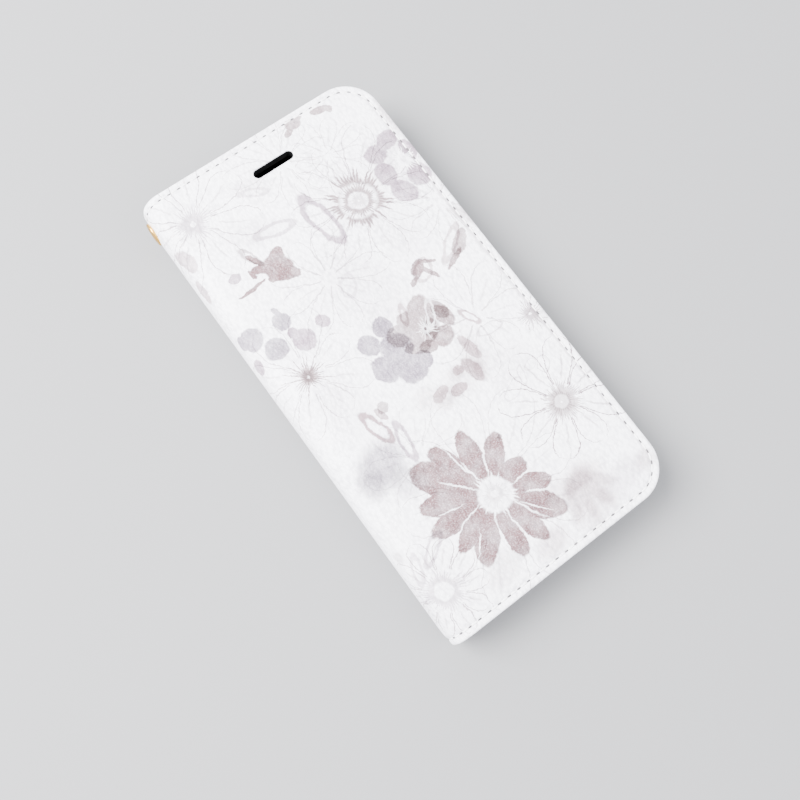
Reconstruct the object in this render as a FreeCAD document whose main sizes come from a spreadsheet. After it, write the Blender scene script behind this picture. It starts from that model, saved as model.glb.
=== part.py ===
import FreeCAD, Part
import math
import os
import re
import Sketcher

from FreeCAD import Placement, Rotation, Vector

# A book-type phone case, closed, lying on its back cover.
# +X runs from the spine to the free edge, +Y to the top of the phone, +Z up through the layers.
# The origin is under the middle of the case, on the surface it lies on.

doc = FreeCAD.newDocument("phone_case")
sizes = doc.addObject("Spreadsheet::Sheet", "Sizes")

driving_sizes = [
    ("cover_width", 74.0, "spine to free edge"),
    ("cover_length", 145.4, "bottom edge to top edge"),
    ("cover_corner", 10.75, "radius of the two free corners"),
    ("case_thickness", 16.2, "whole closed case"),
    ("skin_thickness", 0.8, "outer leatherette"),
    ("lining_thickness", 0.5, "inner leatherette"),
    ("board_thickness", 0.8, "stiffening board"),
    ("foam_thickness", 0.6, "soft layer under the front skin"),
    ("turned_edge", 1.0, "skin folded round the edge of the board"),
    ("board_gap", 0.1, "play between a board and the folded edge"),
    ("board_setback", 0.4, "board stops this far past the lining's step"),
    ("lining_inset", 0.6, "lining stops short of the edge"),
    ("margin_inset", 2.45, "edge to the padded field, past the stitches"),
    ("margin_drop", 0.35, "margin lies this much under the padded field"),
    ("crease_radius", 6.0, "outside radius of each crease"),
    ("spine_half_angle", 18.0, "half the angle that the bowed spine turns"),
    ("strip_thickness", 0.4, "stiffener in the spine"),
    ("strip_half_angle", 16.5, "half the angle of the stiffener"),
    ("step_run", 2.2, "length over which a lining steps round the board's edge"),
    ("slot_length", 13.0, "earpiece slot"),
    ("slot_width", 2.8, "earpiece slot"),
    ("slot_height", 61.8, "slot above the middle of the cover"),
    ("phone_middle", 37.9, "middle line of the phone, from the spine"),
    ("phone_width", 67.6, "space for the phone"),
    ("phone_length", 138.8, "space for the phone"),
    ("phone_depth", 7.4, "space for the phone"),
    ("phone_corner", 10.6, "corner of the space for the phone"),
    ("tray_wall", 1.4, "side wall of the tray"),
    ("tray_floor", 1.2, "floor of the tray"),
    ("tray_lip", 0.5, "lip that holds the phone in"),
    ("tray_lip_height", 0.7, "thickness of that lip"),
    ("tray_edge", 2.0, "rounding under the tray"),
    ("adhesive_thickness", 0.3, "pad that fixes the tray"),
    ("adhesive_width", 60.0, "adhesive pad"),
    ("adhesive_length", 106.0, "adhesive pad"),
    ("adhesive_drop", 9.0, "adhesive pad lies this far below the middle"),
    ("camera_length", 32.0, "camera opening in the tray"),
    ("camera_width", 14.0, "camera opening in the tray"),
    ("camera_side", 13.6, "camera opening, from the phone's middle line"),
    ("camera_height", 60.0, "camera opening, above the middle"),
    ("camera_rim", 1.0, "cover opening is this much wider all round"),
    ("notch_floor", 3.0, "side notches start this far above the tray's base"),
    ("notch_overrun", 1.0, "side notches are cut this far past the wall"),
    ("port_notch", 46.0, "notch for the sockets in the bottom wall"),
    ("volume_notch", 37.0, "notch for the volume keys"),
    ("volume_height", 35.5, "middle of that notch"),
    ("power_notch", 15.0, "notch for the power key"),
    ("power_height", 45.0, "middle of that notch"),
    ("pocket_thickness", 0.35, "each sheet of the wallet"),
    ("pocket_edge", 2.6, "wallet sheets stop short of the free edge"),
    ("bill_length", 116.0, "note pocket"),
    ("bill_drop", 12.2, "note pocket lies below the middle"),
    ("bill_start", 9.4, "mouth of the note pocket, from the spine"),
    ("card_length", 92.0, "card pockets"),
    ("card_drop", 16.0, "card pockets lie below the middle"),
    ("card_start", 17.0, "mouth of the first card pocket, from the spine"),
    ("card_stagger", 10.0, "from one card mouth to the next"),
    ("pocket_corner", 2.5, "corners of the wallet sheets"),
    ("magnet_radius", 5.0, "magnets and their keeper plates"),
    ("magnet_edge", 9.0, "magnet centre to the free edge"),
    ("magnet_height", 30.0, "magnets above and below the middle"),
    ("stitch_length", 2.3, "one visible stitch"),
    ("stitch_width", 0.7, "one visible stitch"),
    ("stitch_pitch", 3.15, "one stitch to the next"),
    ("stitch_inset", 2.0, "edge to the line of stitches"),
    ("pocket_stitch_height", 0.2, "stitches on the wallet sheets"),
    ("eyelet_bore", 2.0, "radius of the hole"),
    ("eyelet_wall", 0.5, "wall of the barrel"),
    ("eyelet_flange", 3.5, "radius of the flange"),
    ("eyelet_dome", 0.9, "height of the flange"),
    ("eyelet_mouth", 0.3, "rounding where the hole starts"),
    ("eyelet_proud", 0.6, "flange outside the spine"),
    ("eyelet_reach", 3.5, "whole length"),
    ("eyelet_roll", 0.3, "rolled end"),
    ("eyelet_roll_radius", 3.0, "radius of the rolled end"),
    ("eyelet_height", 66.8, "eyelet above the middle of the cover"),
    ("washer_radius", 3.4, "washer inside the spine"),
    ("washer_thickness", 0.4, "washer inside the spine"),
    ("eyelet_clearance", 0.1, "round the flange and the washer"),
]

for row, (alias, number, note) in enumerate(driving_sizes, start=1):
    sizes.set(f"A{row}", note)
    sizes.set(f"B{row}", str(number))
    sizes.setAlias(f"B{row}", alias)
doc.recompute()
aliases = {alias for alias, number, note in driving_sizes}


def size(alias):
    return float(getattr(sizes, alias))


def sheet(text):
    # turns "cover_width - skin_thickness" into an expression on the spreadsheet
    return re.sub("[a-z_]+", lambda word: f"Sizes.{word[0]}" if word[0] in aliases else word[0], text)


# Places that several pieces share, as expressions on the sheet.
spine_radius = "(crease_radius + (case_thickness / 2 - crease_radius) / sin(spine_half_angle))"
crease_centre = f"({spine_radius} * (1 - cos(spine_half_angle)) + crease_radius * cos(spine_half_angle))"
spine_x = "(eyelet_proud / 2 - cover_width / 2)"
panel_x = f"({spine_x} + {crease_centre})"
panel_width = f"(cover_width - {crease_centre})"
front_board_z = "(case_thickness - skin_thickness - foam_thickness - board_thickness)"
front_lining_z = f"({front_board_z} - lining_thickness)"
back_lining_z = "(skin_thickness + board_thickness)"
tray_z = f"({back_lining_z} + lining_thickness + adhesive_thickness)"
tray_height = "(tray_floor + phone_depth + tray_lip_height)"
phone_x = f"({spine_x} + phone_middle)"
lining_length = "(cover_length - 2 * turned_edge)"
washer_depth = "(eyelet_reach - eyelet_proud - eyelet_roll - washer_thickness)"

finished = []


def bind(thing, path, text):
    thing.setExpression(path, sheet(text))


def place(thing, x="0", y="0", z="0"):
    for axis, text in (("x", x), ("y", y), ("z", z)):
        bind(thing, f"Placement.Base.{axis}", text)


def keep(thing, label):
    # a finished sub-part: its label is the name of its node
    thing.Label = label
    finished.append(thing)
    return thing


def new_body(label):
    return keep(doc.addObject("PartDesign::Body", label), label)


def new_sketch(body, role="XY_Plane", offset=None):
    sketch = body.newObject("Sketcher::SketchObject", "Sketch")
    plane = next(item for item in body.Origin.OriginFeatures if item.Role == role)
    sketch.AttachmentSupport = [(plane, "")]
    sketch.MapMode = "FlatFace"
    if offset:
        bind(sketch, "AttachmentOffset.Base.z", offset)
    return sketch


def fix(sketch, name, text, *constraint):
    # adds a dimension and ties it to the sheet
    index = sketch.addConstraint(Sketcher.Constraint(*constraint))
    sketch.renameConstraint(index, name)
    bind(sketch, f"Constraints.{name}", text)


def evaluate(text):
    return float(sizes.evalExpression(sheet(text)))


def draw_polygon(sketch, corners):
    # corners are pairs of expressions, none of them negative; "0" puts a corner on the axis
    spots = [Vector(evaluate(x), evaluate(y), 0) for x, y in corners]
    lines = []
    for start, end in zip(spots, spots[1:] + spots[:1]):
        lines.append(sketch.addGeometry(Part.LineSegment(start, end), False))
    for number, line in enumerate(lines):
        sketch.addConstraint(Sketcher.Constraint("Coincident", line, 2, lines[(number + 1) % len(lines)], 1))
    for line, (x, y) in zip(lines, corners):
        for kind, axis, text in (("DistanceX", -2, x), ("DistanceY", -1, y)):
            if text == "0":
                sketch.addConstraint(Sketcher.Constraint("PointOnObject", line, 1, axis))
            else:
                fix(sketch, f"{kind}{line}", text, kind, -1, 1, line, 1, evaluate(text))


def draw_panel(sketch, width, length, corner):
    # square at the spine, where x is 0, and rounded at the free edge; even about the X axis
    w, half, r = evaluate(width), evaluate(length) / 2, evaluate(corner)
    quarter = math.pi / 2
    normal = Vector(0, 0, 1)
    arc_low = Part.ArcOfCircle(Part.Circle(Vector(w - r, r - half, 0), normal, r), -quarter, 0)
    arc_high = Part.ArcOfCircle(Part.Circle(Vector(w - r, half - r, 0), normal, r), 0, quarter)
    shape = [
        Part.LineSegment(Vector(0, -half, 0), Vector(w - r, -half, 0)), arc_low,
        Part.LineSegment(Vector(w, r - half, 0), Vector(w, half - r, 0)), arc_high,
        Part.LineSegment(Vector(w - r, half, 0), Vector(0, half, 0)),
        Part.LineSegment(Vector(0, half, 0), Vector(0, -half, 0)),
    ]
    low, arc_a, free, arc_b, high, spine = [sketch.addGeometry(item, False) for item in shape]
    for first, second in ((low, arc_a), (arc_a, free), (free, arc_b), (arc_b, high)):
        sketch.addConstraint(Sketcher.Constraint("Tangent", first, 2, second, 1))
    sketch.addConstraint(Sketcher.Constraint("Coincident", high, 2, spine, 1))
    sketch.addConstraint(Sketcher.Constraint("Coincident", spine, 2, low, 1))
    sketch.addConstraint(Sketcher.Constraint("Horizontal", low))
    sketch.addConstraint(Sketcher.Constraint("Vertical", free))
    sketch.addConstraint(Sketcher.Constraint("Equal", arc_a, arc_b))
    sketch.addConstraint(Sketcher.Constraint("PointOnObject", spine, 1, -2))
    sketch.addConstraint(Sketcher.Constraint("Symmetric", spine, 1, spine, 2, -1))
    fix(sketch, "width", width, "DistanceX", -1, 1, free, 1, w)
    fix(sketch, "length", length, "DistanceY", spine, 2, spine, 1, 2 * half)
    fix(sketch, "corner", corner, "Radius", arc_a, r)


def draw_rounded(sketch, width, length, corner):
    # a rectangle with four round corners, centred on the origin
    w, half, r = evaluate(width) / 2, evaluate(length) / 2, evaluate(corner)
    centres = [Vector(w - r, r - half, 0), Vector(w - r, half - r, 0),
               Vector(r - w, half - r, 0), Vector(r - w, r - half, 0)]
    arcs = []
    for turn, centre in enumerate(centres):
        start = (turn - 1) * math.pi / 2
        circle = Part.Circle(centre, Vector(0, 0, 1), r)
        arcs.append(sketch.addGeometry(Part.ArcOfCircle(circle, start, start + math.pi / 2), False))
    sides = []
    for turn in range(4):
        ends = (sketch.getPoint(arcs[turn], 2), sketch.getPoint(arcs[(turn + 1) % 4], 1))
        sides.append(sketch.addGeometry(Part.LineSegment(*ends), False))
    for turn in range(4):
        sketch.addConstraint(Sketcher.Constraint("Tangent", arcs[turn], 2, sides[turn], 1))
        sketch.addConstraint(Sketcher.Constraint("Tangent", sides[turn], 2, arcs[(turn + 1) % 4], 1))
    right, top, left, bottom = sides
    sketch.addConstraint(Sketcher.Constraint("Vertical", right))
    sketch.addConstraint(Sketcher.Constraint("Horizontal", top))
    for turn in (1, 2, 3):
        sketch.addConstraint(Sketcher.Constraint("Equal", arcs[0], arcs[turn]))
    sketch.addConstraint(Sketcher.Constraint("Symmetric", arcs[0], 3, arcs[2], 3, -1, 1))
    fix(sketch, "width", width, "DistanceX", left, 2, right, 1, 2 * w)
    fix(sketch, "length", length, "DistanceY", bottom, 1, top, 2, 2 * half)
    fix(sketch, "corner", corner, "Radius", arcs[0], r)


def draw_pill(sketch, length, width, x, y):
    # a slot along X with round ends, its middle at x, y
    half, r = evaluate(length) / 2, evaluate(width) / 2
    middle = Vector(evaluate(x), evaluate(y), 0)
    reach = Vector(half - r, 0, 0)
    rise = Vector(0, r, 0)
    quarter = math.pi / 2
    normal = Vector(0, 0, 1)
    shape = [
        Part.ArcOfCircle(Part.Circle(middle + reach, normal, r), -quarter, quarter),
        Part.LineSegment(middle + reach + rise, middle - reach + rise),
        Part.ArcOfCircle(Part.Circle(middle - reach, normal, r), quarter, 3 * quarter),
        Part.LineSegment(middle - reach - rise, middle + reach - rise),
    ]
    end, top, start, bottom = [sketch.addGeometry(item, False) for item in shape]
    for first, second in ((end, top), (top, start), (start, bottom), (bottom, end)):
        sketch.addConstraint(Sketcher.Constraint("Tangent", first, 2, second, 1))
    sketch.addConstraint(Sketcher.Constraint("Horizontal", top))
    fix(sketch, "width", f"({width}) / 2", "Radius", end, r)
    fix(sketch, "span", f"({length}) - ({width})", "DistanceX", start, 3, end, 3, 2 * (half - r))
    fix(sketch, "left", f"({x}) - (({length}) - ({width})) / 2", "DistanceX", -1, 1, start, 3,
        middle.x - half + r)
    fix(sketch, "height", y, "DistanceY", -1, 1, start, 3, middle.y)


def draw_circle(sketch, radius, x="0", y="0"):
    centre = Vector(evaluate(x), evaluate(y), 0)
    ring = sketch.addGeometry(Part.Circle(centre, Vector(0, 0, 1), evaluate(radius)), False)
    for kind, axis, text in (("DistanceX", -2, x), ("DistanceY", -1, y)):
        if text == "0":
            sketch.addConstraint(Sketcher.Constraint("PointOnObject", ring, 3, axis))
        else:
            fix(sketch, f"{kind}{ring}", text, kind, -1, 1, ring, 3, evaluate(text))
    fix(sketch, f"radius{ring}", radius, "Radius", ring, evaluate(radius))


def draw_band(sketch, outer, inner, start, end):
    # the section of a bent sheet: two arcs about the origin, closed by two radial lines
    angles = [math.radians(evaluate(text)) for text in (start, end)]
    radii = [evaluate(inner), evaluate(outer)]
    arcs = []
    for radius in radii:
        circle = Part.Circle(Vector(0, 0, 0), Vector(0, 0, 1), radius)
        arcs.append(sketch.addGeometry(Part.ArcOfCircle(circle, *angles), False))
        sketch.addConstraint(Sketcher.Constraint("Coincident", arcs[-1], 3, -1, 1))
    for which, (angle, text) in enumerate(zip(angles, (start, end)), start=1):
        direction = Vector(math.cos(angle), math.sin(angle), 0)
        line = sketch.addGeometry(Part.LineSegment(direction * radii[0], direction * radii[1]), False)
        sketch.addConstraint(Sketcher.Constraint("Coincident", line, 1, arcs[0], which))
        sketch.addConstraint(Sketcher.Constraint("Coincident", line, 2, arcs[1], which))
        fix(sketch, f"angle{which}", text, "Angle", -1, 1, line, 1, angle)
    fix(sketch, "inner", inner, "Radius", arcs[0], radii[0])
    fix(sketch, "outer", outer, "Radius", arcs[1], radii[1])


def pad(body, sketch, length, both_ways=False):
    feature = body.newObject("PartDesign::Pad", "Pad")
    feature.Profile = sketch
    if both_ways:
        feature.SideType = "Symmetric"
    bind(feature, "Length", length)
    doc.recompute()
    return feature


def pocket(body, sketch, length, turned=False):
    # a pocket that points the wrong way removes nothing, so the volume is compared
    before = body.Shape.Volume
    feature = body.newObject("PartDesign::Pocket", "Pocket")
    feature.Profile = sketch
    feature.Reversed = turned
    bind(feature, "Length", length)
    doc.recompute()
    if body.Shape.Volume >= before:
        raise RuntimeError(f"a pocket in {body.Label} removes nothing")
    return feature


def round_edges(body, radius, chosen):
    # chosen tests the bounding box of an edge
    base = body.Tip
    names = [f"Edge{number}" for number, edge in enumerate(body.Shape.Edges, start=1)
             if chosen(edge.BoundBox)]
    feature = body.newObject("PartDesign::Fillet", "Fillet")
    feature.Base = (base, names)
    bind(feature, "Radius", radius)
    doc.recompute()


def slot_through(body, thickness):
    # earpiece slot, in a piece whose own x runs from the edge of the crease
    sketch = new_sketch(body)
    draw_pill(sketch, "slot_length", "slot_width", f"phone_middle - {crease_centre}", "slot_height")
    pocket(body, sketch, thickness, True)


def camera_through(body, thickness):
    sketch = new_sketch(body)
    draw_pill(sketch, "camera_length + 2 * camera_rim", "camera_width + 2 * camera_rim",
              f"phone_middle - {crease_centre} + camera_side", "camera_height")
    pocket(body, sketch, thickness, True)


def magnet_holes(body, thickness, x):
    for sign in (1, -1):
        sketch = new_sketch(body)
        centre = Vector(evaluate(x), sign * size("magnet_height"), 0)
        ring = sketch.addGeometry(Part.Circle(centre, Vector(0, 0, 1), size("magnet_radius")), False)
        fix(sketch, "side", x, "DistanceX", -1, 1, ring, 3, centre.x)
        ends = (-1, 1, ring, 3) if sign > 0 else (ring, 3, -1, 1)
        fix(sketch, "height", "magnet_height", "DistanceY", *ends, size("magnet_height"))
        fix(sketch, "radius", "magnet_radius", "Radius", ring, size("magnet_radius"))
        pocket(body, sketch, thickness, True)


def make_skin(label, front):
    # outer leatherette: a padded field, a lower margin, and an edge turned in round the board
    inner_layers = "(board_thickness + foam_thickness)" if front else "board_thickness"
    body_height = f"(skin_thickness + {inner_layers} - margin_drop)"
    body = new_body(label)
    outline = new_sketch(body, offset=None if front else "margin_drop")
    draw_panel(outline, panel_width, "cover_length", "cover_corner")
    pad(body, outline, body_height)
    field = new_sketch(body, offset=body_height if front else None)
    draw_panel(field, f"{panel_width} - margin_inset", "cover_length - 2 * margin_inset",
               "cover_corner - margin_inset")
    pad(body, field, "margin_drop")
    recess = new_sketch(body, offset=None if front else "skin_thickness")
    draw_panel(recess, f"{panel_width} - turned_edge", "cover_length - 2 * turned_edge",
               "cover_corner - turned_edge")
    pocket(body, recess, inner_layers, True)
    return body


def make_front_skin():
    body = make_skin("front_skin", True)
    slot_through(body, "case_thickness")
    place(body, panel_x, "0", front_board_z)


def make_back_skin():
    body = make_skin("back_skin", False)
    camera_through(body, "case_thickness")
    place(body, panel_x)


def make_boards():
    # board and foam lie inside the turned edge; the magnets sit in holes in the boards
    start = "(step_run + board_setback)"
    width = f"({panel_width} - turned_edge - board_gap - {start})"
    for label, thickness, z in (("front_board", "board_thickness", front_board_z),
                                ("front_foam", "foam_thickness", f"{front_board_z} + board_thickness"),
                                ("back_board", "board_thickness", "skin_thickness")):
        body = new_body(label)
        sketch = new_sketch(body)
        draw_panel(sketch, width, "cover_length - 2 * (turned_edge + board_gap)",
                   "cover_corner - turned_edge - board_gap")
        pad(body, sketch, thickness)
        opening = new_sketch(body)
        if label == "back_board":
            draw_pill(opening, "camera_length + 2 * camera_rim", "camera_width + 2 * camera_rim",
                      f"phone_middle - {crease_centre} + camera_side - {start}", "camera_height")
        else:
            draw_pill(opening, "slot_length", "slot_width", f"phone_middle - {crease_centre} - {start}",
                      "slot_height")
        pocket(body, opening, thickness, True)
        if label != "front_foam":
            magnet_holes(body, thickness, f"{width} + turned_edge + board_gap - magnet_edge")
        place(body, f"{panel_x} + {start}", "0", z)


def make_magnets():
    x = f"{spine_x} + cover_width - magnet_edge"
    for label, z in (("front_magnets", front_board_z), ("back_keeper_plates", "skin_thickness")):
        discs = []
        for y in ("magnet_height", "0 - magnet_height"):
            disc = doc.addObject("Part::Cylinder", "Disc")
            bind(disc, "Radius", "magnet_radius")
            bind(disc, "Height", "board_thickness")
            place(disc, x, y, z)
            discs.append(disc)
        pair = doc.addObject("Part::Compound", label)
        pair.Links = discs
        keep(pair, label)


def make_linings():
    # each lining steps from the crease, close under the skin, down round the edge of its board
    run, sheet_depth = "step_run", "lining_thickness"
    end = f"({panel_width} - lining_inset)"
    steps = (("front_lining", "(board_thickness + foam_thickness)", front_lining_z, True),
             ("back_lining", "board_thickness", "skin_thickness", False))
    for label, step, z, steps_down in steps:
        body = new_body(label)
        profile = new_sketch(body, "XZ_Plane")
        if steps_down:
            corners = [("0", step), (run, "0"), (end, "0"), (end, sheet_depth), (run, sheet_depth),
                       ("0", f"{step} + {sheet_depth}")]
        else:
            corners = [("0", "0"), (run, step), (end, step), (end, f"{step} + {sheet_depth}"),
                       (run, f"{step} + {sheet_depth}"), ("0", sheet_depth)]
        draw_polygon(profile, corners)
        pad(body, profile, "cover_length - 2 * lining_inset", True)
        free = evaluate(end)
        round_edges(body, "cover_corner - lining_inset",
                    lambda box: box.XMin > free - 0.01 and box.YLength < 0.01)
        if steps_down:
            slot_through(body, "case_thickness")
        else:
            camera_through(body, "case_thickness")
        place(body, panel_x, "0", z)


def make_wallet():
    # a note pocket, and three card pockets nested on it, their mouths facing the spine
    depth = front_lining_z
    body = new_body("bill_pocket")
    sketch = new_sketch(body)
    start = "bill_start"
    draw_panel(sketch, f"cover_width - pocket_edge - {start}", "bill_length", "pocket_corner")
    pad(body, sketch, "pocket_thickness")
    place(body, f"{spine_x} + {start}", "0 - bill_drop", f"{depth} - pocket_thickness")
    for number in range(3):
        start = f"(card_start + {number} * card_stagger)"
        body = new_body(f"card_pocket_{number + 1}")
        sketch = new_sketch(body)
        draw_panel(sketch, f"cover_width - pocket_edge - {start}", "card_length", "pocket_corner")
        pad(body, sketch, "pocket_thickness")
        place(body, f"{spine_x} + {start}", "0 - card_drop", f"{depth} - {number + 2} * pocket_thickness")


def make_spine():
    # bowed about an axis along Y, that stands spine_radius in from the outermost line
    under_skin = "skin_thickness"
    under_strip = f"{under_skin} + strip_thickness"
    layers = (
        ("spine_skin", "0", under_skin, "spine_half_angle"),
        ("spine_strip", under_skin, under_strip, "strip_half_angle"),
        ("spine_lining", under_strip, f"{under_strip} + lining_thickness", "spine_half_angle"),
    )
    for label, outside, inside, half_angle in layers:
        body = new_body(label)
        section = new_sketch(body, "XZ_Plane")
        draw_band(section, f"{spine_radius} - ({outside})", f"{spine_radius} - ({inside})",
                  f"180 - {half_angle}", f"180 + {half_angle}")
        pad(body, section, "cover_length" if label == "spine_skin" else lining_length, True)
        barrel_hole = new_sketch(body, "YZ_Plane")
        draw_circle(barrel_hole, "eyelet_bore + eyelet_wall", "eyelet_height")
        pocket(body, barrel_hole, "2 * case_thickness")
        if label == "spine_skin":
            seat = new_sketch(body, "YZ_Plane", f"eyelet_dome - eyelet_proud - {spine_radius}")
            draw_circle(seat, "eyelet_flange + eyelet_clearance", "eyelet_height")
            pocket(body, seat, "case_thickness")
        if label == "spine_lining":
            seat = new_sketch(body, "YZ_Plane", f"{washer_depth} - {spine_radius}")
            draw_circle(seat, "washer_radius + eyelet_clearance", "eyelet_height")
            pocket(body, seat, "case_thickness", True)
        place(body, f"{spine_x} + {spine_radius}", "0", "case_thickness / 2")


def make_creases():
    # the flexing strips between the spine and the covers, quarter round when the case is closed
    lining_inside = "crease_radius - skin_thickness - lining_thickness"
    layers = (("skin", "crease_radius", "crease_radius - skin_thickness"),
              ("lining", "crease_radius - skin_thickness", lining_inside))
    ends = (("front_crease", "90", "180 - spine_half_angle", "case_thickness - crease_radius"),
            ("back_crease", "180 + spine_half_angle", "270", "crease_radius"))
    for where, start, end, z in ends:
        for layer, outside, inside in layers:
            body = new_body(f"{where}_{layer}")
            section = new_sketch(body, "XZ_Plane")
            draw_band(section, outside, inside, start, end)
            pad(body, section, "cover_length" if layer == "skin" else lining_length, True)
            place(body, panel_x, "0", z)


def make_eyelet():
    # turned profile: x runs inwards from the outermost point of the flange
    ring = "(eyelet_flange - eyelet_bore)"
    barrel = "(eyelet_bore + eyelet_wall)"
    roll_start = "(eyelet_reach - eyelet_roll)"
    corners = [
        ("eyelet_mouth", "eyelet_bore"), ("0", f"eyelet_bore + {ring} / 3"),
        ("0", f"eyelet_bore + 2 * {ring} / 3"), ("eyelet_dome / 2", "eyelet_flange"),
        ("eyelet_dome", "eyelet_flange"), ("eyelet_dome", barrel), (roll_start, barrel),
        (roll_start, "eyelet_roll_radius"), ("eyelet_reach", "eyelet_roll_radius"),
        ("eyelet_reach", "eyelet_bore"),
    ]
    body = new_body("eyelet")
    profile = new_sketch(body, "XZ_Plane")
    draw_polygon(profile, corners)
    turned = body.newObject("PartDesign::Revolution", "Revolution")
    turned.Profile = profile
    turned.ReferenceAxis = (profile, ["H_Axis"])
    turned.Angle = 360
    place(body, f"{spine_x} - eyelet_proud", "eyelet_height", "case_thickness / 2")

    washer = new_body("eyelet_washer")
    ring_sketch = new_sketch(washer, "YZ_Plane")
    draw_circle(ring_sketch, "washer_radius")
    draw_circle(ring_sketch, "eyelet_bore + eyelet_wall")
    pad(washer, ring_sketch, "washer_thickness")
    place(washer, f"{spine_x} + {washer_depth}", "eyelet_height", "case_thickness / 2")


def make_tray():
    # the hard shell that grips the phone, and the pad that fixes it to the back cover
    body = new_body("phone_tray")
    outside = new_sketch(body)
    draw_rounded(outside, "phone_width + 2 * tray_wall", "phone_length + 2 * tray_wall",
                 "phone_corner + tray_wall")
    pad(body, outside, tray_height)
    round_edges(body, "tray_edge", lambda box: box.ZMax < 0.01)
    mouth = new_sketch(body, offset="tray_floor")
    draw_rounded(mouth, "phone_width - 2 * tray_lip", "phone_length - 2 * tray_lip",
                 "phone_corner - tray_lip")
    pocket(body, mouth, tray_height, True)
    room = new_sketch(body, offset="tray_floor")
    draw_rounded(room, "phone_width", "phone_length", "phone_corner")
    pocket(body, room, "phone_depth", True)
    camera = new_sketch(body)
    draw_pill(camera, "camera_length", "camera_width", "camera_side", "camera_height")
    pocket(body, camera, "2 * tray_floor", True)

    # notches in the walls: sockets at the bottom, keys at both sides
    top = f"{tray_height} + notch_overrun"
    sockets = new_sketch(body, "XZ_Plane")
    draw_notch(sockets, "0", "port_notch", top)
    pocket(body, sockets, "phone_length", True)
    for middle, length, turned in (("volume_height", "volume_notch", False),
                                   ("power_height", "power_notch", True)):
        keys = new_sketch(body, "YZ_Plane")
        draw_notch(keys, middle, length, top)
        pocket(body, keys, "phone_width", turned)
    place(body, phone_x, "0", tray_z)

    adhesive = new_body("tray_adhesive")
    sketch = new_sketch(adhesive)
    draw_rounded(sketch, "adhesive_width", "adhesive_length", "pocket_corner")
    pad(adhesive, sketch, "adhesive_thickness")
    place(adhesive, phone_x, "0 - adhesive_drop", f"{tray_z} - adhesive_thickness")


def draw_notch(sketch, middle, length, top):
    # a rectangle from notch_floor up past the wall, even about a line at x = middle
    low, high = evaluate("notch_floor"), evaluate(top)
    centre, half = evaluate(middle), evaluate(length) / 2
    corners = [Vector(centre - half, low, 0), Vector(centre + half, low, 0),
               Vector(centre + half, high, 0), Vector(centre - half, high, 0)]
    sides = [sketch.addGeometry(Part.LineSegment(start, end), False)
             for start, end in zip(corners, corners[1:] + corners[:1])]
    for number, side in enumerate(sides):
        sketch.addConstraint(Sketcher.Constraint("Coincident", side, 2, sides[(number + 1) % 4], 1))
        sketch.addConstraint(Sketcher.Constraint("Vertical" if number % 2 else "Horizontal", side))
    fix(sketch, "low", "notch_floor", "DistanceY", -1, 1, sides[0], 1, low)
    fix(sketch, "high", top, "DistanceY", -1, 1, sides[2], 1, high)
    fix(sketch, "length", length, "DistanceX", sides[0], 1, sides[0], 2, 2 * half)
    fix(sketch, "end", f"{middle} + ({length}) / 2", "DistanceX", -1, 1, sides[0], 2, centre + half)


def stitch(x, y, z, angle, height):
    # one visible stitch: a short thread lying flat, with its middle at x, y and its base at z
    length, width = size("stitch_length"), size("stitch_width")
    thread = Part.makeBox(length, width, height, Vector(-length / 2, -width / 2, 0))
    thread.Placement = Placement(Vector(x, y, z), Rotation(Vector(0, 0, 1), angle))
    return thread


def edge_stitches(z):
    # along the bottom edge, round both free corners and back along the top edge
    inset, pitch, height = size("stitch_inset"), size("stitch_pitch"), size("margin_drop")
    start, free = evaluate(panel_x), evaluate(f"{spine_x} + cover_width") - inset
    half = size("cover_length") / 2 - inset
    radius = size("cover_corner") - inset
    straight = free - radius - start
    corner = math.pi / 2 * radius
    side = 2 * (half - radius)
    whole = 2 * (straight + corner) + side
    count = round(whole / pitch)
    threads = []
    for number in range(count):
        along = (number + 0.5) * whole / count
        mirrored = along > whole / 2
        if mirrored:
            along = whole - along
        if along < straight:
            x, y, angle = start + along, -half, 0
        elif along < straight + corner:
            turn = (along - straight) / radius
            x = free - radius + radius * math.sin(turn)
            y = radius - half - radius * math.cos(turn)
            angle = math.degrees(turn)
        else:
            x, y, angle = free, radius - half + along - straight - corner, 90
        threads.append(stitch(x, -y if mirrored else y, z, -angle if mirrored else angle, height))
    return threads


def wallet_stitches():
    # two rows across the card pockets, each stitch on the sheet that shows there
    height = size("pocket_stitch_height")
    pitch = size("stitch_pitch")
    free = evaluate(f"{spine_x} + cover_width - pocket_edge")
    threads = []
    for number in range(3):
        start = evaluate(f"{spine_x} + card_start + {number} * card_stagger")
        end = start + size("card_stagger") if number < 2 else free
        z = evaluate(f"{front_lining_z} - {number + 2} * pocket_thickness") - height
        count = math.floor((end - start) / pitch)
        for row in (-1, 1):
            y = row * (size("card_length") / 2 - size("stitch_inset")) - size("card_drop")
            for place_number in range(count):
                x = start + (place_number + 0.5) * (end - start) / count
                threads.append(stitch(x, y, z, 0, height))
    return threads


def make_stitching():
    rows = (
        ("front_stitching", edge_stitches(evaluate("case_thickness - margin_drop"))),
        ("back_stitching", edge_stitches(0)),
        ("pocket_stitching", wallet_stitches()),
    )
    for label, threads in rows:
        group = doc.addObject("Part::Feature", label)
        group.Shape = Part.makeCompound(threads)
        group.Placement = Placement()
        keep(group, label)
        print(label, len(threads), "stitches")


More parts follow.
